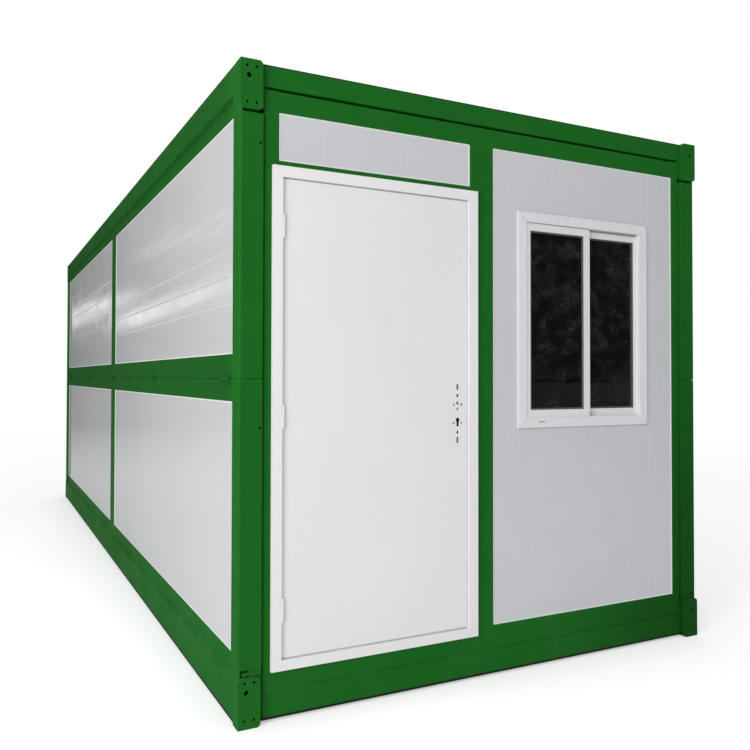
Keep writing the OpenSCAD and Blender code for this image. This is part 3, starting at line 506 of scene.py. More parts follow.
# %% Finish: roof sheet
roof_coat, tree, shader = new_material("roof_coat", level=0.4)
tone = use(tree, uneven, {"Colour": (0.53, 0.54, 0.54, 1), "Patch": 0.6, "Amount": 0.05})["Colour"]
dust = use(tree, settled, {"Ledges": 0.75, "Splash": 0.0})["Mask"]
tone = blend(tree, dust, tone, (0.33, 0.31, 0.27, 1))
puddles = spread(tree, cloud(tree, 0.35, detail=5.0), 0.53, 0.58)
rings = times(tree, puddles, maths(tree, "SUBTRACT", 1.0, puddles))
tone = blend(tree, times(tree, rings, 0.8), tone, (0.30, 0.28, 0.25, 1))
coat = use(tree, sprayed, {"Dimple": 0.005, "Low": 0.32, "High": 0.46})
wire(
    tree,
    shader,
    Base_Color=tone,
    Roughness=dusted(tree, coat, dust, 0.35),
    Normal=bumps(tree, (use(tree, rolled, {"Stretch": (0.1, 1, 1)})["Height"], 0.4, 0.003)),
)
print("finish", roof_coat.name)

# %% [markdown]
# The lock's plates are brushed steel, the dark grey seen in its holes is painted shade, and the
# small fixings are zinc plated. Brushing leaves scratches one way, so the noise is drawn out
# along the grain.


# %% Finish: small metal
def brushed(name, colour, stretch, roughness):
    material, tree, shader = new_material(name, metallic=1.0)
    scratches = cloud(tree, 0.0015, stretch, 3.0)
    tone = blend(tree, scratches, (*(c * 0.8 for c in colour), 1), (*(c * 1.15 for c in colour), 1))
    wire(
        tree,
        shader,
        Base_Color=tone,
        Roughness=spread(tree, scratches, 0.3, 0.7, roughness - 0.08, roughness + 0.1),
        Normal=bumps(tree, (scratches, 0.15, 0.0001)),
    )
    return material


lock_steel = brushed("lock_steel", (0.46, 0.46, 0.45), (1, 1, 0.05), 0.30)
zinc_plate = brushed("zinc_plate", (0.55, 0.56, 0.57), (1, 1, 1), 0.34)
lock_black = brushed("lock_black", (0.030, 0.034, 0.030), (1, 1, 1), 0.5)
# Painted shade: the dark grey-green for the lock's holes.
lock_hole_shade = brushed("lock_hole_shade", (0.16, 0.20, 0.16), (1, 1, 1), 0.5)
print("finishes", lock_steel.name, zinc_plate.name, lock_black.name)

# %% [markdown]
# Rubber and sealant fill the gaps. The sealant round the panels is white and slightly uneven
# from the gun. The door's seal is pale grey, and the pads in the fold are black. The window's
# gaskets are dark grey and made wide, as painted shade of the panes' reveals. The grey also
# paints shade, the shadow line above each sash and the weep slot. Rubber is rough, with a bloom
# of pale powder in places.


# %% Finish: rubber and sealant
def rubber(name, colour, bloom, roughness):
    material, tree, shader = new_material(name, level=0.3)
    powder = spread(tree, cloud(tree, 0.02, detail=6.0), 0.5, 0.75, 0.0, 0.4)
    wire(
        tree,
        shader,
        Base_Color=blend(tree, powder, (*colour, 1), (*bloom, 1)),
        Roughness=spread(tree, powder, 0.0, 0.4, roughness, min(roughness + 0.2, 1.0)),
        Normal=bumps(tree, (cloud(tree, 0.008, detail=3.0), 0.3, 0.0008)),
    )
    return material


white_sealant = rubber("white_sealant", (0.70, 0.72, 0.70), (0.62, 0.64, 0.60), 0.45)
grey_seal_and_shade = rubber("grey_seal_and_shade", (0.30, 0.31, 0.32), (0.40, 0.41, 0.41), 0.6)
black_gasket = rubber("black_gasket", (0.012, 0.014, 0.013), (0.05, 0.05, 0.05), 0.55)
# Near-black, for the painted shade along the beams' edges.
edge_shade_black = rubber("edge_shade_black", (0.003, 0.004, 0.003), (0.010, 0.011, 0.010), 0.6)
pale_seal = rubber("pale_seal", (0.52, 0.52, 0.52), (0.56, 0.56, 0.56), 0.6)
gasket_and_reveal_shade = rubber("gasket_and_reveal_shade", (0.075, 0.085, 0.075), (0.12, 0.12, 0.12), 0.55)
print("finishes", white_sealant.name, grey_seal_and_shade.name, black_gasket.name, gasket_and_reveal_shade.name)

# %% [markdown]
# Now each solid gets its finish. The solids carry the name of the finish that they were made for,
# so a table from those names to the new materials dresses all of them.

# %% Dress the solids
FINISHES = {
    "green_paint": green_enamel,
    "wall_panel": end_skin,
    "ceiling_skin": ceiling_skin,
    "galvanised_steel": galvanised,
    "floor_board": floor_boards,
    "roof_sheet": roof_coat,
    "white_paint": frame_white,
    "door_skin": door_white,
    "window_frame": window_plastic,
    "glass": shaded_glass,
    "lock_metal": lock_black,
}
for name, solid in nodes.items():
    for place in solid.material_slots:
        made_for = place.material.name.split(".")[0]
        place.material = FINISHES[made_for]
        if made_for == "wall_panel" and name.endswith("er_panels"):
            place.material = side_skin
print("dressed", len(nodes), "solids")

# %% [markdown]
# Small parts are drawn flat and then set on a wall. Each wall has its own two directions, u along
# it and v up it, and its outward direction w. A matrix turns a flat drawing into the right place,
# so the same short functions serve all four walls and the roof.

# %% Walls and their directions
WALL_U = {
    "front": Vector((1, 0, 0)),
    "rear": Vector((-1, 0, 0)),
    "left": Vector((0, -1, 0)),
    "right": Vector((0, 1, 0)),
    "top": Vector((1, 0, 0)),
}


def wall_frame(side):
    u = WALL_U[side]
    v = Vector((0, 1, 0)) if side == "top" else Vector((0, 0, 1))
    return u, v, u.cross(v)


def on_wall(side, u, v, out):
    """The matrix that sets a drawing's origin at u, v on a wall, out metres from the middle."""
    du, dv, dw = wall_frame(side)
    turned = Matrix((du, dv, dw)).transposed().to_4x4()
    return Matrix.Translation(du * u + dv * v + dw * out) @ turned


def face_of(side, box):
    """A box's outer face on a wall: its low and high (u, v) corners and how far out it is."""
    corners = [[corner.dot(d) for d in wall_frame(side)] for corner in box]
    low, high = ([f(a, b) for a, b in zip(*corners)] for f in (min, max))
    return low[:2], high[:2], high[2]


def separate_boxes(node):
    """The box of each separate solid in a node, found by walking over a merged copy."""
    bm = bmesh.new()
    bm.from_mesh(nodes[node].data)
    bmesh.ops.remove_doubles(bm, verts=bm.verts, dist=1e-5)
    left, boxes = set(bm.verts), []
    while left:
        seen, todo = set(), [left.pop()]
        while todo:
            vert = todo.pop()
            seen.add(vert)
            for link in vert.link_edges:
                other = link.other_vert(vert)
                if other in left:
                    left.discard(other)
                    todo.append(other)
        spots = [v.co for v in seen]
        boxes.append(
            tuple(Vector([f(spot[i] for spot in spots) for i in range(3)]) for f in (min, max))
        )
    bm.free()
    return sorted(boxes, key=lambda b: tuple(round(c, 3) for c in b[0]))


for name in ("left_lower_panels", "left_upper_panels", "rear_wall_panels", "left_fold_hinges"):
    print(name, "has", len(separate_boxes(name)), "solids")

# %% [markdown]
# Each new piece is one mesh that may hold many small shapes. A shape such as a screw is made once
# and stamped wherever it is needed. A finished piece is named, given its finish and tied to the
# part of the house that it moves with.


# %% Making a piece
def stamp(bm, shape, place):
    copy = shape.copy()
    copy.transform(place)
    bm.from_mesh(copy)
    bpy.data.meshes.remove(copy)


def shape_of(bm, name):
    bmesh.ops.recalc_face_normals(bm, faces=bm.faces)
    mesh = bpy.data.meshes.new(name)
    bm.to_mesh(mesh)
    bm.free()
    return mesh


def join(bm, part, place=Matrix.Identity(4)):
    """Adds a finished part to a piece, once, and clears it away."""
    shape = shape_of(part, "part")
    stamp(bm, shape, place)
    bpy.data.meshes.remove(shape)


def flat_face(low, high, height=0.0):
    """A new part that holds one rectangle. Gives the part and its face."""
    part = bmesh.new()
    spots = ((low[0], low[1]), (high[0], low[1]), (high[0], high[1]), (low[0], high[1]))
    face = part.faces.new([part.verts.new((u, v, height)) for u, v in spots])
    face.normal_update()
    return part, face


def grow(bm, faces, way):
    """Turns flat faces into a solid by drawing a copy of them along a way."""
    grown = bmesh.ops.extrude_face_region(bm, geom=faces, use_keep_orig=True)["geom"]
    ends = [g for g in grown if isinstance(g, bmesh.types.BMVert)]
    bmesh.ops.translate(bm, verts=ends, vec=way)


def round_edges(bm, edges, offset, segments=2, clamp=True):
    bmesh.ops.bevel(
        bm,
        geom=edges,
        offset=offset,
        segments=segments,
        profile=0.5,
        affect="EDGES",
        material=-1,
        clamp_overlap=clamp,
    )


def finish_piece(name, bm, material, body, smooth=40):
    mesh = shape_of(bm, name)
    mesh.materials.append(material)
    mesh.shade_smooth()
    mesh.set_sharp_from_angle(angle=math.radians(smooth))
    piece = bpy.data.objects.new(name, mesh)
    bpy.context.scene.collection.objects.link(piece)
    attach(piece, body)
    print(name, "on", body, "faces", len(mesh.polygons))


print("piece helpers ready")

# %% [markdown]
# Beads, gaskets and seals all run round a rectangle. One rectangle is inset to make a flat rim,
# its middle is taken out, the rim is raised, and its edges are rounded. That keeps the mitred
# corners exact, where four separate bars would overlap.


# %% A rim round a rectangle
RIM_CURVE = 0.4


def rim(bm, place, low, high, width, rise, sink=0.001):
    part, middle = flat_face(low, high, -sink)
    ring = bmesh.ops.inset_region(
        part, faces=[middle], thickness=width, use_even_offset=True, use_boundary=True
    )
    bmesh.ops.delete(part, geom=[middle], context="FACES")
    grow(part, ring["faces"], (0, 0, rise + sink))
    bmesh.ops.recalc_face_normals(part, faces=part.faces)
    top_edges = [
        e
        for e in part.edges
        if all(v.co.z > rise / 2 for v in e.verts) and e.calc_face_angle(0) > 0.5
    ]
    round_edges(part, top_edges, RIM_CURVE * min(width, 2 * rise), segments=3)
    join(bm, part, place)


print("rim helper ready")

# %% [markdown]
# The panels' outer skins have shallow grooves, rolled in about every ten centimetres to stiffen
# them. They are barely visible, and only where light grazes them. The skin starts as one flat
# face. Bisecting it on both sides and in the middle of each groove gives the lines to press in,
# and thickness comes last.

# %% Grooved skins
GROOVE_PITCH = 0.105
GROOVE_WIDTH = 0.008
GROOVE_DEPTH = 0.0002
JOINT_WIDTH = 0.003
JOINT_DEPTH = 0.001
SKIN_PROUD = 0.0015
SKIN_THICK = 0.003


def slice_at(bm, axis, where):
    normal = Vector((1, 0, 0)) if axis == 0 else Vector((0, 1, 0))
    everything = bm.verts[:] + bm.edges[:] + bm.faces[:]
    bmesh.ops.bisect_plane(bm, geom=everything, dist=1e-6, plane_co=normal * where, plane_no=normal)


def press_groove(bm, axis, where, width, depth):
    for offset in (-width / 2, 0.0, width / 2):
        slice_at(bm, axis, where + offset)
    middle = [v for v in bm.verts if abs(v.co[axis] - where) < 1e-5]
    bmesh.ops.translate(bm, verts=middle, vec=(0, 0, -depth))


def grooved_skin(bm, side, box, axis, start, hole=None, joints=()):
    """A skin over a panel's outer face. Grooves run across the axis, from start, one pitch apart."""
    low, high, out = face_of(side, box)
    part, _ = flat_face(low, high)
    first = math.ceil((low[axis] + GROOVE_WIDTH - start) / GROOVE_PITCH)
    last = math.floor((high[axis] - GROOVE_WIDTH - start) / GROOVE_PITCH)
    for count in range(first, last + 1):
        press_groove(part, axis, start + count * GROOVE_PITCH, GROOVE_WIDTH, GROOVE_DEPTH)
    for joint in joints:
        press_groove(part, axis, joint, JOINT_WIDTH, JOINT_DEPTH)
    if hole:
        for way in (0, 1):
            for edge in (hole[0][way], hole[1][way]):
                slice_at(part, way, edge)
        inside = [
            f
            for f in part.faces
            if all(hole[0][i] < f.calc_center_median()[i] < hole[1][i] for i in (0, 1))
        ]
        bmesh.ops.delete(part, geom=inside, context="FACES")
    bmesh.ops.recalc_face_normals(part, faces=part.faces)
    if part.faces[:][0].normal.z < 0:
        bmesh.ops.reverse_faces(part, faces=part.faces)
    grow(part, part.faces[:], (0, 0, -SKIN_THICK))
    join(bm, part, on_wall(side, 0, 0, out + SKIN_PROUD))


print("groove helper ready")

# %% Side wall skins
SIDE_GROOVE_Z = 1.909
for side in ("left", "right"):
    for storey in ("lower", "upper"):
        bm = bmesh.new()
        for box in separate_boxes(f"{side}_{storey}_panels"):
            grooved_skin(bm, side, box, 1, SIDE_GROOVE_Z)
        finish_piece(f"{side}_{storey}_skins", bm, side_skin, "house", 1)

# %% [markdown]
# At the front, one full panel is 0.97 m wide and a narrow strip makes up the rest, so a joint
# runs down beside the window. The skin has a hole where the window's flange covers it.

# %% End wall skins
FRONT_GROOVE_X = 0.066
STRIP_JOINT_X = 0.913
flange_low, flange_high, flange_out = face_of("front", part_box("window_frame"))
flange_lap = 0.010
window_hole = (
    [c + flange_lap for c in flange_low],
    [c - flange_lap for c in flange_high],
)
bm = bmesh.new()
grooved_skin(
    bm, "front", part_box("window_panel"), 0, FRONT_GROOVE_X, window_hole, joints=[STRIP_JOINT_X]
)
finish_piece("window_panel_skin", bm, end_skin, "front_wall", 1)
bm = bmesh.new()
grooved_skin(bm, "front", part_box("transom_panel"), 0, FRONT_GROOVE_X)
finish_piece("transom_skin", bm, end_skin, "front_wall", 1)
bm = bmesh.new()
for box in separate_boxes("rear_wall_panels"):
    grooved_skin(bm, "rear", box, 0, FRONT_GROOVE_X)
finish_piece("rear_wall_skins", bm, end_skin, "rear_wall", 1)

# %% [markdown]
# A bead of white sealant runs round every panel, in the corner between the skin and the steel. It
# shows as a thin pale line against the green.

# %% Sealant beads
BEAD_WIDTH, BEAD_RISE = 0.007, 0.0035
bead_sets = {
    "left_panel_beads": ("left", "house", ["left_lower_panels", "left_upper_panels"]),
    "right_panel_beads": ("right", "house", ["right_lower_panels", "right_upper_panels"]),
    "front_panel_beads": ("front", "front_wall", ["transom_panel", "window_panel"]),
    "rear_panel_beads": ("rear", "rear_wall", ["rear_wall_panels"]),
}
for name, (side, body, panels) in bead_sets.items():
    bm = bmesh.new()
    for panel in panels:
        for box in separate_boxes(panel):
            low, high, out = face_of(side, box)
            rim(bm, on_wall(side, 0, 0, out), low, high, BEAD_WIDTH, BEAD_RISE)
    finish_piece(name, bm, white_sealant, body)

# %% [markdown]
# A pale grey seal fills the gap round the door leaf. It lies back from the leaf's face, so the
# gap still reads as a soft shadow line. It is fixed to the frame and the leaf leaves it behind
# when it opens.

# %% Door seal
leaf_low, leaf_high, leaf_out = face_of("front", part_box("door_leaf"))
DOOR_GAP = 0.005
SEAL_BACK = 0.012
bm = bmesh.new()
rim(
    bm,
    on_wall("front", 0, 0, leaf_out - SEAL_BACK),
    [c - DOOR_GAP for c in leaf_low],
    [c + DOOR_GAP for c in leaf_high],
    DOOR_GAP - 0.0008,
    SEAL_BACK - 0.003,
    sink=0.004,
)
finish_piece("door_seal", bm, pale_seal, "front_wall")

# %% [markdown]
# Dark grey gaskets hold the panes in the sashes. They are made wide, as painted shade of the
# reveal round each pane. A grey brush seal closes the slot above each sash, and its grey paints
# the shadow line there, taller above the sash set further back.

# %% Window gaskets
# Painted shade: the gaskets are wide and dark, standing in for the shaded reveal round each pane.
GASKET_WIDTH, GASKET_RISE = 0.008, 0.006
bm = bmesh.new()
for pane in ("left_pane", "right_pane"):
    for side in ("front", "rear"):
        low, high, out = face_of(side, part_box(pane))
        rim(bm, on_wall(side, 0, 0, out), low, high, GASKET_WIDTH, GASKET_RISE)
finish_piece("pane_gaskets_and_shade", bm, gasket_and_reveal_shade, "front_wall")


# %% Plain bars
def bar(bm, low, high, rounding=0.0):
    """A box between two corners, with its edges rounded if rounding is given."""
    low, high = Vector(low), Vector(high)
    part = bmesh.new()
    size = Matrix.Diagonal((*(high - low), 1))
    bmesh.ops.create_cube(part, size=1.0, matrix=Matrix.Translation((low + high) / 2) @ size)
    if rounding:
        round_edges(part, part.edges[:], rounding)
    join(bm, part)


HEAD_DOME = 0.35


def round_head(radius, height, name, segments=12, recess=0.0):
    """A screw's or plug's head: a short cylinder with a rounded rim and, perhaps, a hollow."""
    part = bmesh.new()
    bmesh.ops.create_cone(
        part,
        cap_ends=True,
        segments=segments,
        radius1=radius,
        radius2=radius,
        depth=height,
        matrix=Matrix.Translation((0, 0, height / 2)),
    )
    top = [f for f in part.faces if f.normal.z > 0.9]
    round_edges(part, [e for f in top for e in f.edges], HEAD_DOME * height, clamp=False)
    if recess:
        top = max(part.faces, key=lambda f: f.calc_center_median().z)
        bmesh.ops.inset_region(part, faces=[top], thickness=radius * 0.45)
        bmesh.ops.inset_region(part, faces=[top], thickness=radius * 0.04, depth=-recess)
    return shape_of(part, name)


print("bar and head helpers ready")

# %% Sash slots
# Painted shade: these grey strips stand in for the shadow line above each sash.
slot_height = {"left_sash": 0.004, "right_sash": 0.008}
bm = bmesh.new()
for sash, tall in slot_height.items():
    low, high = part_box(sash)
    face = low.y - 0.0006
    bar(bm, (low.x + 0.002, face, high.z - tall), (high.x - 0.002, face + 0.004, high.z), 0.0003)
finish_piece("sash_brushes_and_shade", bm, grey_seal_and_shade, "front_wall")

# %% [markdown]
# The window's flange is screwed to the panel, and each screw is hidden by a small plastic plug.
# A slot under a small hood lets rain out of the tracks. The flange is not cut, and a grey bar
# paints the slot's shade. Thin diagonal lines mark the mitred corners where the bars are welded.

# %% Window plugs
plug = round_head(0.0065, 0.0016, "plug", segments=16)
PLUG_INSET = 0.019
bm = bmesh.new()
for u in (flange_low[0] + PLUG_INSET, flange_high[0] - PLUG_INSET):
    for v in (flange_low[1] + PLUG_INSET, flange_high[1] - PLUG_INSET):
        stamp(bm, plug, on_wall("front", u, v, flange_out))
finish_piece("window_plugs", bm, window_plastic, "front_wall")

# %% Weep slot
SLOT_HALF, SLOT_RISE, HOOD_HALF = 0.018, 0.0025, 0.022
slot_u, slot_z = flange_low[0] + 0.13, flange_low[1] + 0.026
bm = bmesh.new()
hoods = bmesh.new()
# Painted shade: a grey bar on the flange stands in for the dark slot.
bar(
    bm,
    (slot_u - SLOT_HALF, -flange_out - 0.0004, slot_z - SLOT_RISE),
    (slot_u + SLOT_HALF, -flange_out + 0.002, slot_z + SLOT_RISE),
)
bar(
    hoods,
    (slot_u - HOOD_HALF, -flange_out - 0.0022, slot_z + SLOT_RISE),
    (slot_u + HOOD_HALF, -flange_out + 0.001, slot_z + 0.0055),
    0.0007,
)
finish_piece("weep_slot_shade", bm, grey_seal_and_shade, "front_wall")
finish_piece("weep_hoods", hoods, window_plastic, "front_wall")

# %% Mitre lines
bm = bmesh.new()
line = bmesh.new()
FLANGE_WIDTH = 0.045
reach = FLANGE_WIDTH * math.sqrt(2) - 0.004
bmesh.ops.create_cube(
    line,
    size=1.0,
    matrix=Matrix.Translation((reach / 2 + 0.002, 0, 0)) @ Matrix.Diagonal((reach, 0.0007, 0.0006, 1)),
)
line = shape_of(line, "line")
for u, v, angle in (
    (flange_low[0], flange_low[1], 45),
    (flange_high[0], flange_low[1], 135),
    (flange_high[0], flange_high[1], 225),
    (flange_low[0], flange_high[1], 315),
):
    stamp(bm, line, on_wall("front", u, v, flange_out) @ Matrix.Rotation(math.radians(angle), 4, "Z"))
finish_piece("window_mitres", bm, grey_seal_and_shade, "front_wall")

# %% [markdown]
# The sliding sash has a small stop at the foot of the meeting stile, and a latch with its lever on
# the room side.

# %% Sash fittings
left_low, left_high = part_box("left_sash")
right_low, right_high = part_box("right_sash")
meeting = (right_low.x + left_high.x) / 2
bm = bmesh.new()
bar(
    bm,
    (left_high.x - 0.004, left_low.y - 0.004, left_low.z + 0.002),
    (left_high.x + 0.007, left_low.y + 0.004, left_low.z + 0.022),
    0.0015,
)
finish_piece("sash_stop", bm, grey_seal_and_shade, "front_wall")
bm = bmesh.new()
latch_z = (left_low.z + left_high.z) / 2
inside = right_high.y
for half, y_low, y_high, z_low, z_high, rounding in (
    (0.011, 0.0, 0.006, -0.035, 0.035, 0.002),  # base
    (0.005, 0.005, 0.016, -0.01, 0.045, 0.003),  # lever
):
    low = (meeting - half, inside + y_low, latch_z + z_low)
    high = (meeting + half, inside + y_high, latch_z + z_high)
    bar(bm, low, high, rounding)
finish_piece("sash_latch", bm, lock_steel, "front_wall")

# %% [markdown]
# Each end wall stands a few millimetres clear of the floor beam, so that it can swing. A green
# steel strip under the wall closes most of that gap and leaves a thin line.

# %% Sill strips
SEAM = 0.002
for side, wall in (("front", "front_wall"), ("rear", "rear_wall")):
    low, high, out = face_of(side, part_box(f"{wall}_frame"))
    seam_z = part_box("floor_end_beams")[1].z + SEAM
    deep = sorted((out - 0.001, out - 0.020))
    ys = [-d for d in deep] if side == "front" else deep
    bm = bmesh.new()
    bar(bm, (low[0], min(ys), seam_z), (high[0], max(ys), low[1] + 0.0005), 0.0004)
    finish_piece(f"{wall}_sill_strip", bm, green_enamel, wall)

# %% [markdown]
# A folded green strip slopes from the foot of each long wall down to the floor beam's edge and
# sheds the rain. Another one closes the step under the roof beam. Each is a bar with three sides,
# grown along the wall from one triangle.

# %% Rain strips
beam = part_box("floor_side_beams")[1]
rail = beam.x - 0.017
edge = beam.x - 0.0008
roof_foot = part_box("roof_side_beams")[0].z
bm = bmesh.new()
for corners in (
    ((rail, beam.z), (edge, beam.z), (rail, beam.z + 0.014)),
    ((rail, roof_foot), (edge, roof_foot), (rail, roof_foot - 0.008)),
):
    for side, sign in (("left", -1), ("right", 1)):
        low, high, _ = face_of("right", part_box(f"{side}_lower_panels"))
        part = bmesh.new()
        first = part.faces.new([part.verts.new((sign * x, low[0], z)) for x, z in corners])
        grow(part, [first], (0, high[0] - low[0], 0))
        join(bm, part)
finish_piece("rain_strips", bm, green_enamel, "house")

# %% [markdown]
# Black strips run along the top outer edges of the roof's beams and along the lowest edges of
# the floor's beams. They are painted shade, dark lines where those edges fall into shade.

# %% Edge strips of painted shade
STRIP_TALL, STRIP_PROUD = 0.003, 0.0004
FOOT_SHADE_TALL = 0.009


def edge_strips(bm, beams, z_low, z_high, deep):
    """A strip along the outer face of each beam of a node, between two heights."""
    for low, high in separate_boxes(beams):
        along = 0 if high.x - low.x > high.y - low.y else 1
        across = 1 - along
        outward = 1 if low[across] > 0 else -1
        face = high[across] if outward > 0 else low[across]
        ends = sorted((face + outward * STRIP_PROUD, face - outward * deep))
        a, b = [0.0, 0.0, z_low], [0.0, 0.0, z_high]
        a[along], b[along] = low[along] + 0.001, high[along] - 0.001
        a[across], b[across] = ends
        bar(bm, a, b, 0.0004)


bm = bmesh.new()
# Painted shade: a black line along the top outer edges of the roof's beams.
for beams in ("roof_side_beams", "roof_end_beams"):
    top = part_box(beams)[1].z
    edge_strips(bm, beams, top - STRIP_TALL, top + 0.0005, 0.012)
finish_piece("roof_edge_shade_strips", bm, edge_shade_black, "house")
bm = bmesh.new()
# Painted shade: a black band along the lowest edges of the floor's beams.
for beams in ("floor_side_beams", "floor_end_beams"):
    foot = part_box(beams)[0].z
    edge_strips(bm, beams, foot - 0.0005, foot + FOOT_SHADE_TALL, 0.012)
finish_piece("floor_edge_shade_strips", bm, edge_shade_black, "house")

# %% [markdown]
# Each end wall swings between the posts with a finger's width to spare. A green rubber strip is
# glued to each post, a little behind the faces, and hides that gap without touching the wall.

# %% Post seals
SEAL_SETBACK, SEAL_DEEP, SEAL_CLEAR = 0.002, 0.012, 0.0015
foot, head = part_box("floor_corner_front_left")[1].z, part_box("roof_corner_front_left")[0].z
lower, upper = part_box("left_lower_frame"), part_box("left_upper_frame")
post_inside = abs(lower[1].x) + 0.0005
heights = ((foot, lower[1].z - 0.001), (upper[0].z + 0.001, head - 0.010))
bm = bmesh.new()
for wall, facing in (("front_wall", -1), ("rear_wall", 1)):
    frame_low, frame_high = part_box(f"{wall}_frame")
    face = frame_low.y if facing < 0 else frame_high.y
    ys = sorted((face - facing * SEAL_SETBACK, face - facing * (SEAL_SETBACK + SEAL_DEEP)))
    for xs in ((-post_inside, frame_low.x - SEAL_CLEAR), (frame_high.x + SEAL_CLEAR, post_inside)):
        for bottom, top in heights:
            bar(bm, (xs[0], ys[0], bottom), (xs[1], ys[1], top), 0.001)
finish_piece("post_seals", bm, green_enamel, "house")

# %% [markdown]
# The slots beside the corner fittings are wider and deeper. A green plate just behind the faces
# fills each of them, where it would be a black hole.

# %% Corner fillers
bm = bmesh.new()
for storey in ("floor", "roof"):
    beams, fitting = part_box(f"{storey}_end_beams"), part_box(f"{storey}_corner_front_left")
    bottom = min(beams[0].z, fitting[0].z + 0.012) + 0.001
    top = max(beams[1].z, fitting[1].z - 0.012) - 0.001
    back = 0.001 if storey == "roof" else 0.004
    for sign in (-1, 1):
        xs = sorted(sign * x for x in (frame_high.x + SEAL_CLEAR, abs(fitting[1].x) + 0.0005))
        for facing in (-1, 1):
            ys = sorted(facing * (beams[1].y - deep) for deep in (back, back + SEAL_DEEP))
            bar(bm, (xs[0], ys[0], bottom), (xs[1], ys[1], top), 0.0005)
finish_piece("corner_fillers", bm, green_enamel, "house")

# %% [markdown]
# The halves of each corner post meet at the fold with a gap as thick as a coin. A rubber pad in
# it, a little smaller than the post, keeps light from showing through.

# %% Fold pads
PAD_INSET, PAD_HALF = 0.008, 0.0011
bm = bmesh.new()
for side in (-1, 1):
    for end in (-1, 1):
        xs = sorted(side * x for x in (post_inside + PAD_INSET, abs(lower[0].x) - PAD_INSET))
        ys = sorted(end * y for y in (lower[1].y - 0.068, lower[1].y - PAD_INSET))
        bar(bm, (xs[0], ys[0], lower[1].z - PAD_HALF), (xs[1], ys[1], upper[0].z + PAD_HALF))
finish_piece("fold_pads", bm, black_gasket, "house")

# %% [markdown]
# The fold hinges are screwed through their leaves, three screws above the fold and three below.
# They were painted with the frame, so they are green too.

# %% Fold hinge screws
hinge_screw = round_head(0.0045, 0.0022, "hinge_screw", recess=0.0009)
LEAF_BACK = 0.010
for side in ("left", "right"):
    bm = bmesh.new()
    for box in separate_boxes(f"{side}_fold_hinges"):
        low, high, out = face_of(side, box)
        for u in (low[0] + 0.018, (low[0] + high[0]) / 2, high[0] - 0.018):
            for v in (low[1] + 0.0065, high[1] - 0.0065):
                stamp(bm, hinge_screw, on_wall(side, u, v, out - LEAF_BACK))
    finish_piece(f"{side}_hinge_screws", bm, green_enamel, "house")

# %% [markdown]
# The roof sheet is held down on every rib by hexagon screws with a rubber washer under a steel
# one. There are over a hundred of them, so each has few faces.

# %% Roof screws
SCREWS_ACROSS = 6
screw_parts = (
    (0.009, 0.0, 0.0012, 12),  # rubber washer
    (0.0085, 0.0012, 0.0022, 12),  # steel washer
    (0.0046, 0.0022, 0.007, 6),  # head
)
screw = bmesh.new()
for radius, bottom, top, sides in screw_parts:
    bmesh.ops.create_cone(
        screw,
        cap_ends=True,
        segments=sides,
        radius1=radius,
        radius2=radius * 0.93,
        depth=top - bottom,
        matrix=Matrix.Translation((0, 0, (top + bottom) / 2)),
    )
screw = shape_of(screw, "roof_screw")
sheet_low, sheet_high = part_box("roof_sheet")
ridge_edges = sorted(
    {round(v.co.y, 4) for v in nodes["roof_sheet"].data.vertices if v.co.z > sheet_high.z - 0.0005}
)
ridges = [(a + b) / 2 for a, b in zip(ridge_edges[::2], ridge_edges[1::2])]
bm = bmesh.new()
for ridge in ridges:
    for i in range(SCREWS_ACROSS):
        u = sheet_low.x + 0.06 + i * (sheet_high.x - sheet_low.x - 0.12) / (SCREWS_ACROSS - 1)
        stamp(bm, screw, on_wall("top", u, ridge, sheet_high.z))
finish_piece("roof_screws", bm, zinc_plate, "house")
print("ribs", len(ridges))

# %% [markdown]
# Sealant also runs along the roof sheet's four edges, where it meets the beams.

# %% Roof sealant
bm = bmesh.new()
rim(
    bm,
    on_wall("top", 0, 0, sheet_high.z - 0.007),
    (sheet_low.x, sheet_low.y),
    (sheet_high.x, sheet_high.y),
    0.012,
    0.004,
)
finish_piece("roof_sealant", bm, white_sealant, "house")

# %% [markdown]
# The floor boards are screwed to the joists with flush steel screws.

# %% Floor screws
deck_low, deck_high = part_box("floor_deck")
flush_screw = round_head(0.0042, 0.0008, "flush_screw", segments=10, recess=0.0006)
bm = bmesh.new()
for box in separate_boxes("floor_joists"):
    along = (box[0].y + box[1].y) / 2
    if not deck_low.y + 0.01 < along < deck_high.y - 0.01:
        continue
    for i in range(9):
        u = deck_low.x + 0.04 + i * (deck_high.x - deck_low.x - 0.08) / 8
        stamp(bm, flush_screw, on_wall("top", u, along, deck_high.z))
finish_piece("floor_screws", bm, zinc_plate, "house")

# %% [markdown]
# A dark grey sheet in each hole of the leaf paints the shade in the lock's holes. The floor of
# each hole is copied, moved forward and given a little thickness.

# %% Painted shade in the lock's holes
leaf = nodes["door_leaf"].data
skin_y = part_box("door_leaf")[0].y
bm = bmesh.new()
bm.from_mesh(leaf)
floors = {f for f in bm.faces if f.normal.y < -0.9 and 0.01 < f.calc_center_median().y - skin_y < 0.04}
others = [f for f in bm.faces if f not in floors]
bmesh.ops.delete(bm, geom=others, context="FACES")
bmesh.ops.translate(bm, verts=bm.verts, vec=(0, -0.014, 0))
grow(bm, bm.faces[:], (0, 0.001, 0))
finish_piece("lock_hole_shade_faces", bm, lock_hole_shade, "door")

# %% [markdown]
# The lock's case ends in a steel plate let into the door's edge, with the latch and the bolt flush
# in it. A striking plate faces it on the frame.

# %% Lock plates
LOCK_Z, PLATE_HALF, PLATE_ACROSS, BOLT_ACROSS = 1.15, 0.12, 0.011, 0.006
edge_x = leaf_high[0]
jamb_x = edge_x + DOOR_GAP
middle_y = -(leaf_out - 0.026)


def edge_bar(bm, xs, across, z_low, z_high, rounding=0.0002):
    """A bar between two x, across metres to each side of the lock's middle line."""
    low = (xs[0], middle_y - across, LOCK_Z + z_low)
    bar(bm, low, (xs[1], middle_y + across, LOCK_Z + z_high), rounding)


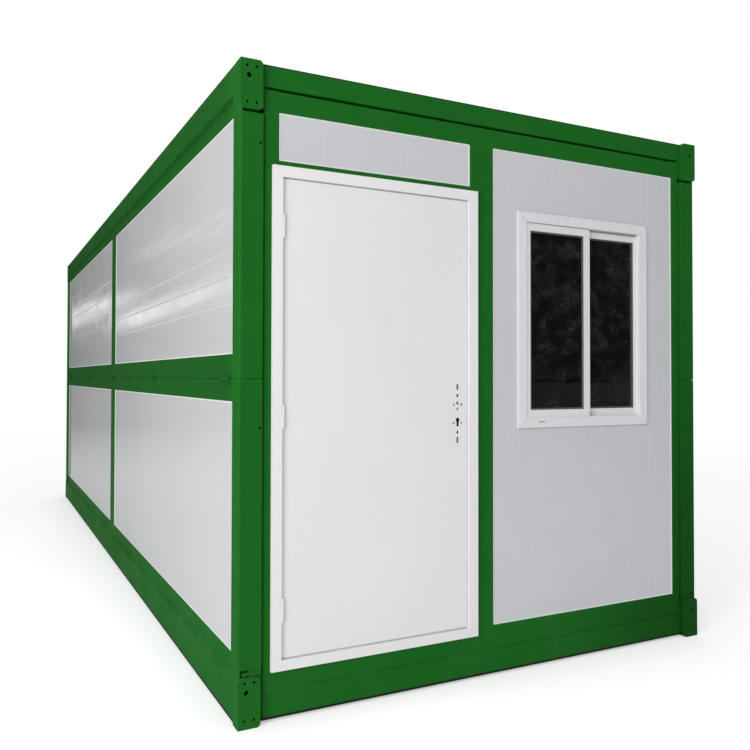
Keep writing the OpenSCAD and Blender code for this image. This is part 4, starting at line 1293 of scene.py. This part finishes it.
bm = bmesh.new()
edge_bar(bm, (edge_x - 0.001, edge_x + 0.0003), PLATE_ACROSS, -PLATE_HALF, PLATE_HALF)
edge_bar(bm, (edge_x, edge_x + 0.0006), BOLT_ACROSS, 0.03, 0.062)
edge_bar(bm, (edge_x, edge_x + 0.0005), BOLT_ACROSS, -0.062, -0.03)
finish_piece("lock_plate", bm, lock_steel, "door")
bm = bmesh.new()
edge_bar(bm, (jamb_x - 0.0008, jamb_x + 0.001), PLATE_ACROSS, -PLATE_HALF, PLATE_HALF, 0.0004)
finish_piece("strike_plate", bm, lock_steel, "front_wall")

# %% [markdown]
# The house stands on a plain pale floor. A large plane carries its shadow, and far from the
# house it fades into the white of the background, so no horizon shows. Glossy surfaces see it
# greyer with distance.

# %% Floor
floor = bmesh.new()
FLOOR_REACH = 150.0
bmesh.ops.create_grid(floor, x_segments=1, y_segments=1, size=FLOOR_REACH)
floor_mesh = bpy.data.meshes.new("floor")
floor.to_mesh(floor_mesh)
floor.free()
floor = bpy.data.objects.new("floor", floor_mesh)
bpy.context.scene.collection.objects.link(floor)
pale_floor, tree, shader = new_material("pale_floor", (0.55, 0.55, 0.55), 0.9, level=0.0)
spot = put(tree, "TexCoord").outputs["Object"]
distance = put(tree, "VectorMath", {0: spot}, operation="LENGTH").outputs["Value"]
seen = put(tree, "LightPath").outputs["Is Camera Ray"]
pale = put(tree, "BsdfDiffuse", {"Color": (0.92, 0.92, 0.92, 1)}).outputs[0]
glow = put(tree, "Emission", {"Color": (1, 1, 1, 1), "Strength": 0.36}).outputs[0]
lit = put(tree, "AddShader", {0: pale, 1: glow}).outputs[0]
white = put(tree, "Emission", {"Color": (1, 1, 1, 1), "Strength": 1.0}).outputs[0]
FADE_FROM, FADE_TO = 6.0, 14.0
far = spread(tree, distance, FADE_FROM, FADE_TO)
shown = put(tree, "MixShader", {0: far, 1: lit, 2: white}).outputs[0]
mirrored = spread(tree, distance, 5.0, 15.0, 0.80, 0.30)
grey = blend_value(tree, put(tree, "LightPath").outputs["Is Glossy Ray"], 0.80, mirrored)
plain = put(tree, "BsdfDiffuse", {"Color": grey}).outputs[0]
mixed = put(tree, "MixShader", {0: seen, 1: plain, 2: shown}).outputs[0]
tree.links.new(mixed, tree.nodes["Material Output"].inputs["Surface"])
floor_mesh.materials.append(pale_floor)
print("floor laid")

# %% [markdown]
# The world is white where it is seen straight or through glass. As light it is softer, bright
# overhead and greyer low down. Long clouds and a low hedge show only in the gloss.

# %% World
world = bpy.data.worlds.new("soft_surround")
bpy.context.scene.world = world
world.use_nodes = True
tree = world.node_tree
tree.nodes.clear()
ways = put(tree, "LightPath").outputs
look = put(tree, "TexCoord").outputs["Generated"]
axes = put(tree, "SeparateXYZ", {0: look}).outputs
rise = axes["Z"]
dome = spread(tree, rise, 0.0, 0.7, 0.385, 0.635)
slant, steeper = (
    plus(tree, rise, times(tree, axes["X"], slope)) for slope in (0.43, 0.65)
)
slanted = put(tree, "CombineXYZ", {0: axes["X"], 1: axes["Y"], 2: slant}).outputs[0]
streaks = spread(tree, cloud(tree, 0.16, (0.8, 0.8, 7.0), 5.0, slanted), 0.44, 0.60)


def long_cloud(along, middle, half, soft, side_from, side_to, amount):
    """A band of sky round one slant, kept to one side of the view."""
    lower = spread(tree, along, middle - half - soft, middle - half, 0.0, amount)
    upper = spread(tree, along, middle + half + soft, middle + half)
    side = spread(tree, axes["X"], side_from, side_to)
    return times(tree, times(tree, lower, upper), side)


clouds = 0.09
# Slant, middle, half height, soft edge, side from, side to, amount.
for band in (
    (slant, -0.004, 0.006, 0.008, -0.15, -0.19, 1.6),
    (slant, 0.026, 0.008, 0.008, -0.20, -0.15, 1.1),
    (steeper, 0.029, 0.001, 0.003, -0.17, -0.21, 1.1),
    (steeper, 0.006, 0.001, 0.003, -0.20, -0.25, 1.0),
):
    clouds = plus(tree, clouds, long_cloud(*band))
clouds = times(tree, clouds, plus(tree, times(tree, streaks, 0.6), 0.5))
clouds = times(tree, clouds, spread(tree, axes["Y"], 0.0, 0.4))
hedge = spread(tree, cloud(tree, 0.03, (1, 1, 1), 6.0, look), 0.50, 0.78, 0.03, 0.2)
above = spread(tree, rise, 0.20, 0.8, 0.0, 1.0)
gloss_light = plus(tree, blend_value(tree, above, hedge, dome), clouds)
light = either(tree, ways["Is Glossy Ray"], gloss_light, dome)
seen = maths(tree, "MAXIMUM", ways["Is Camera Ray"], ways["Is Transmission Ray"])
strength = either(tree, seen, 1.0, light)
sky = put(tree, "Background", {"Color": (1, 1, 1, 1), "Strength": strength}).outputs[0]
tree.links.new(sky, put(tree, "OutputWorld").inputs["Surface"])
print("world set")

# %% [markdown]
# Two lamps shape the house. A broad sun from the front left lights both walls that are seen, and
# a large soft panel of light near the front corner makes them fall off gently to the far ends.


# %% Lamps
def lamp(name, kind, place, target, power, **settings):
    data = bpy.data.lights.new(name, kind)
    data.energy = power
    for key, value in settings.items():
        setattr(data, key, value)
    made = bpy.data.objects.new(name, data)
    bpy.context.scene.collection.objects.link(made)
    aim = Vector(target) - Vector(place)
    made.matrix_world = Matrix.Translation(place) @ aim.to_track_quat("-Z", "Y").to_matrix().to_4x4()
    return made


lamp("sun", "SUN", (-4, -8, 5.2), (0, 0, 1), 0.42, angle=math.radians(18))
softbox = lamp("softbox", "AREA", (-7.5, -6.5, 2.2), (-1.2, -2.5, 1.3), 425.0, size=3.5)
softbox.visible_camera = False
print("lamps placed")

# %% Last settings
bpy.context.scene.view_settings.view_transform = "Standard"
